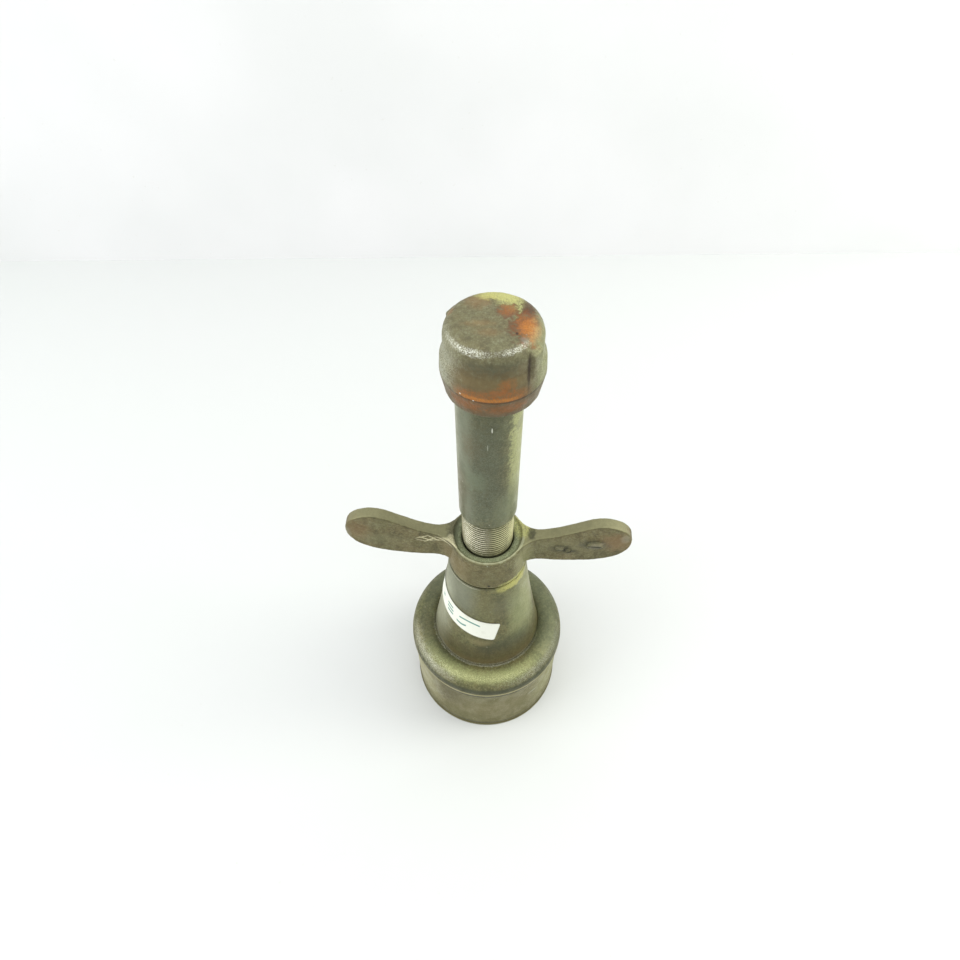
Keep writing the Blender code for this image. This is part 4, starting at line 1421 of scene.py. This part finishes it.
@dataclass
class ScrewedBarrel:
    """Straight barrel tube with a thread above the nut and a screwed top, and the packing on its foot."""

    radius: float = 0.0113
    bore: float = 0.0074
    top: float = 0.2320
    top_thread: tuple[float, float] = (0.0109, 0.2150)
    top_turns: int = 9
    thread_major: float = 0.0105
    thread_minor: float = 0.0098
    thread_span: tuple[float, float] = (0.1259, 0.1474)
    thread_turns: int = 15
    hidden_radius: float = 0.01015
    spigot: tuple[float, float, float] = (0.0089, 0.0860, 0.0950)
    top_thread_depth: float = 0.0005
    top_margin: float = 0.0012
    crest_wear: float = 0.00005
    edge_softness: float = 0.00022

    def build(self) -> None:
        """Builds and dresses the tube, its packing and its retainer."""
        place_piece(self.tube(), self.tube_finish().build(), Body.BARREL, "barrel_tube")
        leather = SoftSeal("packing_leather_look", (0.13, 0.075, 0.035), (0.26, 0.18, 0.10), 0.7)
        dress_node("barrel_packing", leather.build())
        brass = AgedMetal("retainer_brass_look", dark=(0.10, 0.08, 0.03), mid=(0.30, 0.24, 0.10),
                          warm=(0.33, 0.23, 0.09), pale=(0.5, 0.46, 0.28), metallic=0.6,
                          roughness=(0.3, 0.5), mottle=180.0, grain=Grain.ROUND, grain_depth=0.00004)
        dress_node("packing_retainer", brass.build())

    def tube(self) -> bpy.types.Object:
        """Turns the tube with its threads.

        Returns:
            The tube.
        """
        low, high = self.thread_span
        pitch = (high - low) / self.thread_turns
        profile = Profile().corner(self.top_thread[0] - self.top_thread_depth, self.top)
        profile.corner(self.top_thread[0], self.top - 0.0008)
        top_pitch = (self.top - self.top_margin - self.top_thread[1]) / self.top_turns
        for turn in range(self.top_turns):
            crest = self.top - self.top_margin - turn * top_pitch
            profile.corner(self.top_thread[0] - self.top_thread_depth, crest - 0.45 * top_pitch)
            profile.corner(self.top_thread[0], crest - 0.95 * top_pitch)
        profile.corner(self.radius, self.top_thread[1] - 0.0005)
        for step in range(1, 12):
            profile.corner(self.radius, self.top_thread[1] + (high - self.top_thread[1]) * step / 12)
        profile.corner(self.radius, high + 0.0006).corner(self.thread_minor, high)
        for turn in reversed(range(self.thread_turns)):
            foot = low + turn * pitch
            profile.corner(self.thread_major - self.crest_wear, foot + 0.80 * pitch)
            profile.corner(self.thread_major - self.crest_wear, foot + 0.66 * pitch)
            profile.corner(self.thread_minor, foot + 0.30 * pitch)
        profile.corner(self.hidden_radius, low).corner(self.hidden_radius, self.spigot[2])
        profile.corner(self.spigot[0], self.spigot[2]).corner(self.spigot[0], self.spigot[1])
        profile.corner(self.bore, self.spigot[1]).corner(self.bore, self.top)
        tube = Lathe(112).turn("barrel_pipe", profile.softened(self.edge_softness, True, 40.0), True)
        shade(tube)
        return tube

    def tube_finish(self) -> AgedMetal:
        """Grey olive drawn tube, with a pale yellow-green streak down its right that is partly oxide and
        partly a painted reflection, painted reflections down its left, a darker painted reflection down its
        front, and painted highlights on the thread.

        Returns:
            The finish.
        """
        green_oxide_and_reflection = (0.47, 0.49, 0.22)
        thread_highlight = (0.80, 0.78, 0.62)
        marks = (
            # Painted reflections: paler bands down the left side.
            Ring((0.19, 0.205, 0.145), 0.0113, 0.1800, 0.003, 0.0360, -150.0, 20.0, 0.75, soft=0.3,
                 ragged=0.9),
            Ring((0.31, 0.32, 0.235), 0.0113, 0.1800, 0.003, 0.0380, 174.0, 22.0, 0.65, soft=0.3),
            Ring((0.125, 0.078, 0.030), 0.0113, 0.1930, 0.003, 0.0060, -122.0, 12.0, 0.55, soft=0.6,
                 ragged=1.3),
            Ring((0.120, 0.085, 0.038), 0.0113, 0.1710, 0.003, 0.0070, -148.0, 12.0, 0.50, soft=0.6,
                 ragged=1.3),
            Ring((0.115, 0.080, 0.038), 0.0113, 0.1600, 0.003, 0.0080, -158.0, 14.0, 0.45, soft=0.6,
                 ragged=1.3),
            # Painted reflection: a darker band down the front.
            Ring((0.060, 0.056, 0.030), 0.0113, 0.1850, 0.003, 0.0260, -96.0, 18.0, 0.62, soft=0.5,
                 ragged=1.0),
            Ring((0.17, 0.20, 0.125), 0.0113, 0.1760, 0.003, 0.0050, -118.0, 10.0, 0.5, soft=0.6, ragged=1.3),
            # Yellow-green streak down the right, partly oxide and partly a painted reflection.
            Ring(green_oxide_and_reflection, 0.0113, 0.1960, 0.003, 0.0250, -30.0, 17.0, 0.88, soft=0.45, ragged=1.5,
                 speckle=0.55, feather=9.0),
            Ring((0.33, 0.35, 0.17), 0.0113, 0.1780, 0.003, 0.0260, -20.0, 24.0, 0.7, soft=0.5, ragged=1.0,
                 speckle=0.35),
            Patch((0.05, 0.055, 0.03), (0.0100, -0.0050, 0.2010), (0.0030, 0.003, 0.0022), strength=0.55,
                  ragged=1.3, speckle=0.8),
            Ring((0.17, 0.185, 0.095), 0.0113, 0.1560, 0.003, 0.0090, -46.0, 26.0, 0.5, soft=0.6, ragged=1.0),
            Ring((0.075, 0.045, 0.020), 0.0113, 0.2136, 0.003, 0.0018, strength=0.75, ragged=0.9),
            Patch((0.70, 0.70, 0.60), (0.0008, -0.0112, 0.2035), (0.00022, 0.002, 0.0011), strength=0.9,
                  ragged=0.4),
            Patch((0.60, 0.60, 0.50), (-0.0006, -0.0112, 0.1950), (0.00018, 0.002, 0.0014), strength=0.40,
                  ragged=0.9),
            Ring((0.150, 0.185, 0.135), 0.0113, 0.1880, 0.003, 0.0200, -112.0, 40.0, 0.5, soft=0.8,
                 ragged=1.6, speckle=0.7),
            Ring((0.150, 0.185, 0.135), 0.0113, 0.1600, 0.003, 0.0100, -90.0, 60.0, 0.45, soft=0.8,
                 ragged=1.6, speckle=0.7),
            Ring((0.33, 0.31, 0.19), 0.0106, 0.1372, 0.00032, 0.0112, strength=0.9, soft=0.3, ragged=0.3),
            # Painted highlights on the thread's front left and front right.
            Ring(thread_highlight, 0.0106, 0.1372, 0.00034, 0.0110, -128.0, 30.0, 0.9, soft=0.4, ragged=0.6,
                 speckle=0.75),
            Ring((0.60, 0.60, 0.32), 0.0106, 0.1372, 0.00032, 0.0110, -46.0, 28.0, 0.80, soft=0.4, ragged=0.6,
                 speckle=0.3),
            Ring((0.018, 0.018, 0.010), 0.0097, 0.1372, 0.00046, 0.0112, strength=0.92, soft=0.35,
                 ragged=0.3),
        )
        return AgedMetal("tube_brass_look", dark=(0.062, 0.064, 0.036), mid=(0.112, 0.116, 0.058),
                         warm=(0.125, 0.114, 0.052), pale=(0.21, 0.225, 0.13), metallic=0.45,
                         roughness=(0.30, 0.50), mottle=95.0, grain=Grain.ROUND, grain_depth=0.00006,
                         specks=0.6, wear=0.25, marks=marks)


@dataclass
class PipeCap:
    """Cast iron pipe cap screwed on the barrel, with a banded mouth and two upright ribs, and its gasket."""

    mouth: tuple[float, float] = (0.0152, 0.2138)
    band: tuple[float, float] = (0.0166, 0.2214)
    band_top: float = 0.2265
    radius: float = 0.0152
    neck: float = 0.2290
    top: float = 0.2390
    edge: tuple[float, float] = (0.0044, 0.0056)
    shift: float = 0.0010
    cell: float = 0.00034
    bore: tuple[float, float] = (0.0112, 0.2346)
    mouth_bore: float = 0.0117
    bore_step: tuple[float, float] = (0.2152, 0.2155)
    rib_azimuths: tuple[float, float] = (-37.5, 142.5)
    rib_radius: float = 0.0163
    rib_width: float = 0.0054
    rib_top: float = 0.2352
    rib_edge: float = 0.0009

    def build(self) -> None:
        """Builds and dresses the cap and its gasket."""
        place_piece(self.cap(), self.cap_finish().build(), Body.CAP, "pipe_cap")
        fibre = SoftSeal("cap_gasket_look", (0.16, 0.10, 0.06), (0.30, 0.24, 0.17), 0.75)
        dress_node("cap_gasket", fibre.build())

    def cap(self) -> bpy.types.Object:
        """Turns the cap, joins its ribs, and recasts it.

        Returns:
            The cap.
        """
        profile = Profile().corner(0.0, self.top)
        profile.curve((self.radius - self.edge[0], self.top - self.edge[1]), self.edge, 90, 0, 12)
        profile.corner(self.radius, self.neck).corner(self.band[0] - 0.0003, self.band_top).corner(*self.band)
        profile.corner(*self.mouth).corner(self.mouth[0] - 0.0003, self.mouth[1] - 0.0003)
        profile.corner(self.mouth_bore, self.mouth[1] - 0.0003).corner(self.mouth_bore, self.bore_step[0])
        profile.corner(self.bore[0], self.bore_step[1]).corner(*self.bore).corner(0.0, self.bore[1])
        cap = Lathe(128).turn("cast_pipe_cap", profile.points, False)
        for azimuth in self.rib_azimuths:
            apply_boolean(cap, "UNION", self.rib(azimuth))
        recast(cap, self.cell, CAST_ROUNDS, CAST_PITS)
        cap.data.transform(Matrix.Translation((self.shift, 0.0, 0.0)))
        return cap

    def rib(self, azimuth: float) -> bpy.types.Object:
        """Makes one upright rib with rounded edges.

        Args:
            azimuth: Its place round the cap, in degrees.

        Returns:
            The rib.
        """
        depth = self.rib_radius - self.bore[0] - 0.0010
        low = self.band[1] + 0.0004
        bpy.ops.object.select_all(action="DESELECT")
        bpy.ops.mesh.primitive_cube_add(size=1.0)
        rib = bpy.context.object
        bpy.ops.transform.resize(value=(depth, self.rib_width, self.rib_top - low))
        settle(rib)
        only(rib)
        rounding = rib.modifiers.new("cast_edge", "BEVEL")
        rounding.width = self.rib_edge
        rounding.segments = 3
        bpy.ops.object.modifier_apply(modifier=rounding.name)
        rib.data.transform(Matrix.Translation((self.rib_radius - depth / 2, 0.0, (self.rib_top + low) / 2)))
        rib.data.transform(Matrix.Rotation(math.radians(azimuth), 4, "Z"))
        return rib

    def cap_finish(self) -> AgedMetal:
        """Cast iron gone grey olive, with rust along the band, spots of rust on top, a yellow-green tint on
        top that is partly oxide and partly a painted reflection, painted glints on the top edge, the sides
        and the band, painted reflections down the sides, and painted shade beside a rib.

        Returns:
            The finish.
        """
        rust = (0.27, 0.090, 0.018)
        ember = (0.43, 0.160, 0.025)
        bark = (0.100, 0.066, 0.031)
        maroon = (0.060, 0.020, 0.012)
        yellow_oxide_and_reflection = (0.46, 0.45, 0.15)
        painted_glint = (0.66, 0.68, 0.60)
        top = self.top
        marks = (
            Patch((0.22, 0.13, 0.05), (-0.0035, -0.0020, top), (0.0040, 0.0012, 0.002), strength=0.40,
                  soft=0.7, ragged=1.2),
            Patch((0.20, 0.12, 0.05), (-0.0005, -0.0060, top), (0.0030, 0.0014, 0.002), strength=0.40,
                  soft=0.7, ragged=1.2),
            Patch((0.20, 0.12, 0.05), (-0.0036, 0.0078, top), (0.0036, 0.0030, 0.002), strength=0.55,
                  soft=0.7, ragged=1.1),
            Patch((0.22, 0.12, 0.045), (-0.0118, 0.0046, top - 0.001), (0.0012, 0.0018, 0.002), strength=0.6),
            # Yellow-green tint on the top's back, partly oxide and partly a painted reflection.
            Ring(yellow_oxide_and_reflection, 0.0116, top - 0.0006, 0.0026, 0.0022, 76.0, 30.0, 0.92, 0.4, 1.2, 0.35, 12.0),
            Ring((0.42, 0.43, 0.17), 0.0096, top, 0.0030, 0.0010, 50.0, 22.0, 0.85, 0.5, 1.5, 0.75, 14.0),
            Ring((0.40, 0.42, 0.16), 0.0086, top, 0.0020, 0.0010, 22.0, 16.0, 0.85, 0.5, 1.5, 0.75, 14.0),
            Patch(maroon, (0.0055, 0.0032, top), (0.0036, 0.0030, 0.002), strength=0.65, ragged=1.5,
                  speckle=0.3),
            Patch(rust, (0.0052, 0.0034, top), (0.0024, 0.0024, 0.002), strength=0.92, ragged=1.1, soft=0.6,
                  speckle=0.5),
            Patch(maroon, (0.0112, 0.0044, top - 0.001), (0.0022, 0.0034, 0.003), strength=0.85, ragged=1.1,
                  speckle=0.25),
            Patch(maroon, (0.0100, -0.0030, top - 0.0008), (0.0046, 0.0064, 0.004), strength=0.85, ragged=1.3,
                  speckle=0.2),
            Patch(rust, (0.0106, -0.0034, top - 0.0012), (0.0040, 0.0054, 0.004), strength=0.92, ragged=1.1,
                  soft=0.5, speckle=0.45),
            Patch(ember, (0.0108, -0.0042, top - 0.0012), (0.0023, 0.0034, 0.004), strength=0.9, ragged=1.0,
                  soft=0.7, speckle=0.5),
            Patch((0.16, 0.17, 0.15), (0.0093, -0.0088, top - 0.0015), (0.0014, 0.0010, 0.002), strength=0.5),
            Patch((0.012, 0.008, 0.006), (0.0074, -0.0066, top), (0.0004, 0.0005, 0.001), strength=0.9,
                  ragged=0.3),
            # Painted glints along the top's front edge.
            Ring(painted_glint, 0.0136, top - 0.0018, 0.0008, 0.0010, -132.0, 28.0, 0.95, 0.6, 1.2, 0.92, 16.0),
            Ring(painted_glint, 0.0136, top - 0.0018, 0.0006, 0.0009, -84.0, 22.0, 0.25, 0.6, 1.2, 0.95, 14.0),
            Ring(painted_glint, 0.0136, top - 0.0018, 0.0008, 0.0010, -58.0, 12.0, 0.90, 0.6, 1.2, 0.90, 10.0),
            Ring((0.050, 0.054, 0.032), 0.0152, 0.2328, 0.002, 0.0020, -90.0, 22.0, 0.7, 0.7, 1.0, 0.2),
            # Painted reflections: paler bands down the left and right sides, then painted glints on them.
            Ring((0.31, 0.31, 0.21), 0.0155, 0.2290, 0.004, 0.0110, -164.0, 24.0, 0.8, 0.4, 0.9, 0.6),
            Ring((0.28, 0.30, 0.14), 0.0155, 0.2290, 0.004, 0.0110, -14.0, 16.0, 0.65, 0.4, 0.9, 0.4),
            Ring(painted_glint, 0.0155, 0.2260, 0.004, 0.0060, -158.0, 26.0, 0.28, 0.8, 2.4, 1.0),
            Ring(painted_glint, 0.0155, 0.2270, 0.004, 0.0050, -30.0, 14.0, 0.12, 0.8, 2.4, 1.0),
            Ring((0.118, 0.084, 0.033), 0.0162, 0.2265, 0.003, 0.0058, -92.0, 44.0, 0.85, 0.6, 1.0, 0.2),
            Ring(bark, 0.0160, 0.2175, 0.004, 0.0042, strength=0.80, soft=0.4, ragged=0.8),
            Ring(rust, 0.0160, 0.2182, 0.003, 0.0024, -118.0, 12.0, 0.75, 0.7, 1.6, 0.35),
            Ring(rust, 0.0160, 0.2176, 0.003, 0.0020, -70.0, 9.0, 0.75, 0.7, 1.6, 0.35),
            Ring(rust, 0.0162, 0.2230, 0.003, 0.0017, -90.0, 38.0, 0.95, 0.8, 1.6, 0.65, 12.0),
            Ring(ember, 0.0165, 0.2219, 0.002, 0.0009, -92.0, 30.0, 0.95, 0.5, 1.0, 0.45, 10.0),
            Patch(rust, (0.0020, -0.0155, 0.2252), (0.0034, 0.004, 0.0012), turn=8.0, strength=0.8,
                  ragged=1.5, soft=0.8, speckle=0.4),
            Patch(rust, (0.0048, -0.0150, 0.2272), (0.0018, 0.004, 0.0016), strength=0.75, ragged=1.5,
                  soft=0.8, speckle=0.4),
            Ring((0.020, 0.014, 0.008), 0.0166, 0.2211, 0.0012, 0.0004, -88.0, 80.0, 0.75, 0.5, 0.6),
            # Painted shade beside the front rib.
            Patch((0.026, 0.016, 0.009), (0.0110, -0.0120, 0.2294), (0.00042, 0.0012, 0.0086), strength=0.92,
                  ragged=0.4, soft=0.6),
            Patch((0.060, 0.040, 0.022), (0.0116, -0.0117, 0.2296), (0.0012, 0.0016, 0.0080), strength=0.25,
                  ragged=0.8, soft=0.6),
            # Painted glints on the band.
            Patch(painted_glint, (-0.0089, -0.0136, 0.2222), (0.0003, 0.001, 0.00025), strength=0.8, ragged=0.3),
            Patch(painted_glint, (-0.0050, -0.0157, 0.2214), (0.0003, 0.001, 0.0002), strength=0.8, ragged=0.3),
        )
        return AgedMetal("cap_iron_look", dark=(0.082, 0.072, 0.040), mid=(0.140, 0.136, 0.070),
                         warm=(0.150, 0.134, 0.064), pale=(0.24, 0.245, 0.15), metallic=0.25,
                         roughness=(0.38, 0.62), mottle=100.0, grain=Grain.UPRIGHT, grain_depth=0.00024,
                         specks=0.25, wear=0.25, marks=marks)


@dataclass
class Studio:
    """Pale floor and wall, soft lights and the camera."""

    wall_distance: float = 0.378
    wall_turn: float = 0.55
    eye: Triple = (-0.0031, -0.1556, 0.3657)
    forward: Triple = (0.0, 0.61000, -0.79240)
    right: Triple = (0.999993, -0.002957, -0.002277)
    up: Triple = (0.003732, 0.792395, 0.609997)
    lens: float = 25.77

    def build(self) -> None:
        """Builds the room, the lights and the camera."""
        floor = self.panel("studio_floor", (0.0, 0.0, 0.0), (0.0, 0.0, 0.0))
        wall = self.panel("studio_wall", (0.0, self.wall_distance, 1.5),
                          (math.radians(90.0), 0.0, math.radians(self.wall_turn)))
        self.paint(floor, "floor_card", (0.585, 0.600, 0.603), 0.42)
        self.paint(wall, "wall_card", (0.735, 0.738, 0.755), 0.7)
        self.daylight()
        self.lamp("overhead_softbox", (0.0, -0.10, 1.30), (0.0, 0.0, 0.05), (1.5, 1.2), 5.7, (1.0, 1.0, 0.98))
        self.lamp("left_softbox", (-0.85, -0.25, 0.65), (0.0, 0.0, 0.12), (0.7, 0.9), 5.2, (1.0, 1.0, 0.98))
        self.lamp("right_softbox", (0.75, 0.05, 0.60), (0.0, 0.0, 0.12), (0.45, 0.9), 5.3, (1.0, 1.0, 0.90))
        self.camera()

    def panel(self, name: str, place: Triple, turn: Triple) -> bpy.types.Object:
        """Makes one large card of the room.

        Args:
            name: Its name.
            place: Its middle.
            turn: Its turn, in radians.

        Returns:
            The card.
        """
        bpy.ops.object.select_all(action="DESELECT")
        bpy.ops.mesh.primitive_plane_add(size=3.0, location=place, rotation=turn)
        card = bpy.context.object
        card.name = name
        settle(card)
        return card

    def paint(self, card: bpy.types.Object, name: str, colour: Triple, roughness: float) -> None:
        """Gives a card a pale, slightly uneven paint.

        Args:
            card: The card.
            name: Name of the paint.
            colour: Its colour.
            roughness: Its roughness.
        """
        board = Board(name)
        cloud = board.noise(board.place, 5.0, 3.0, 0.5)
        dust = board.noise(board.place, 420.0, 2.0, 0.5)
        shade_of = board.mix(board.spread(cloud, 0.3, 0.7, 0.0, 0.35), colour, (0.580, 0.608, 0.600))
        shade_of = board.mix(board.spread(dust, 0.72, 0.80, 0.0, 0.25), shade_of, (0.46, 0.46, 0.38))
        board.feed(board.shader.inputs["Base Color"], shade_of)
        board.feed(board.shader.inputs["Roughness"],
                   board.spread(cloud, 0.2, 0.8, roughness, roughness + 0.12))
        card.data.materials.append(board.material)

    def daylight(self) -> None:
        """Sets an even pale surrounding light."""
        world = bpy.data.worlds.new("soft_daylight")
        world.use_nodes = True
        sky = world.node_tree.nodes["Background"]
        sky.inputs["Color"].default_value = (1.0, 1.0, 0.985, 1.0)
        sky.inputs["Strength"].default_value = 0.96
        bpy.context.scene.world = world

    def lamp(self, name: str, place: Triple, target: Triple, size: tuple[float, float], power: float,
             colour: Triple) -> None:
        """Hangs one soft rectangular lamp.

        Args:
            name: Its name.
            place: Where it hangs.
            target: Point it faces.
            size: Its width and height.
            power: Its power in watts.
            colour: Its colour.
        """
        light = bpy.data.lights.new(name, "AREA")
        light.shape = "RECTANGLE"
        light.size, light.size_y = size
        light.energy = power
        light.color = colour
        holder = bpy.data.objects.new(name, light)
        bpy.context.scene.collection.objects.link(holder)
        holder.location = place
        aim = Vector(target) - Vector(place)
        holder.rotation_euler = aim.to_track_quat("-Z", "Y").to_euler()

    def camera(self) -> None:
        """Places the camera above the front of the nozzle."""
        lens = bpy.data.cameras.new("view_camera")
        lens.lens = self.lens
        lens.sensor_width = 36.0
        lens.clip_start = 0.01
        camera = bpy.data.objects.new("view_camera", lens)
        bpy.context.scene.collection.objects.link(camera)
        back = -Vector(self.forward)
        stand = Matrix((Vector(self.right), Vector(self.up), back)).transposed().to_4x4()
        stand.translation = Vector(self.eye)
        camera.matrix_world = stand
        bpy.context.scene.camera = camera


def main() -> None:
    """Builds the nozzle from the hose end up to the cap, then the studio round it."""
    logging.basicConfig(level=logging.INFO, format="%(name)s: %(message)s")
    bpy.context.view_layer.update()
    SwivelCoupling().build()
    ConeWaterway().build()
    WingLockNut().build()
    ScrewedBarrel().build()
    PipeCap().build()
    Studio().build()
    bpy.context.scene.view_settings.view_transform = "Standard"


if __name__ == "__main__":
    main()
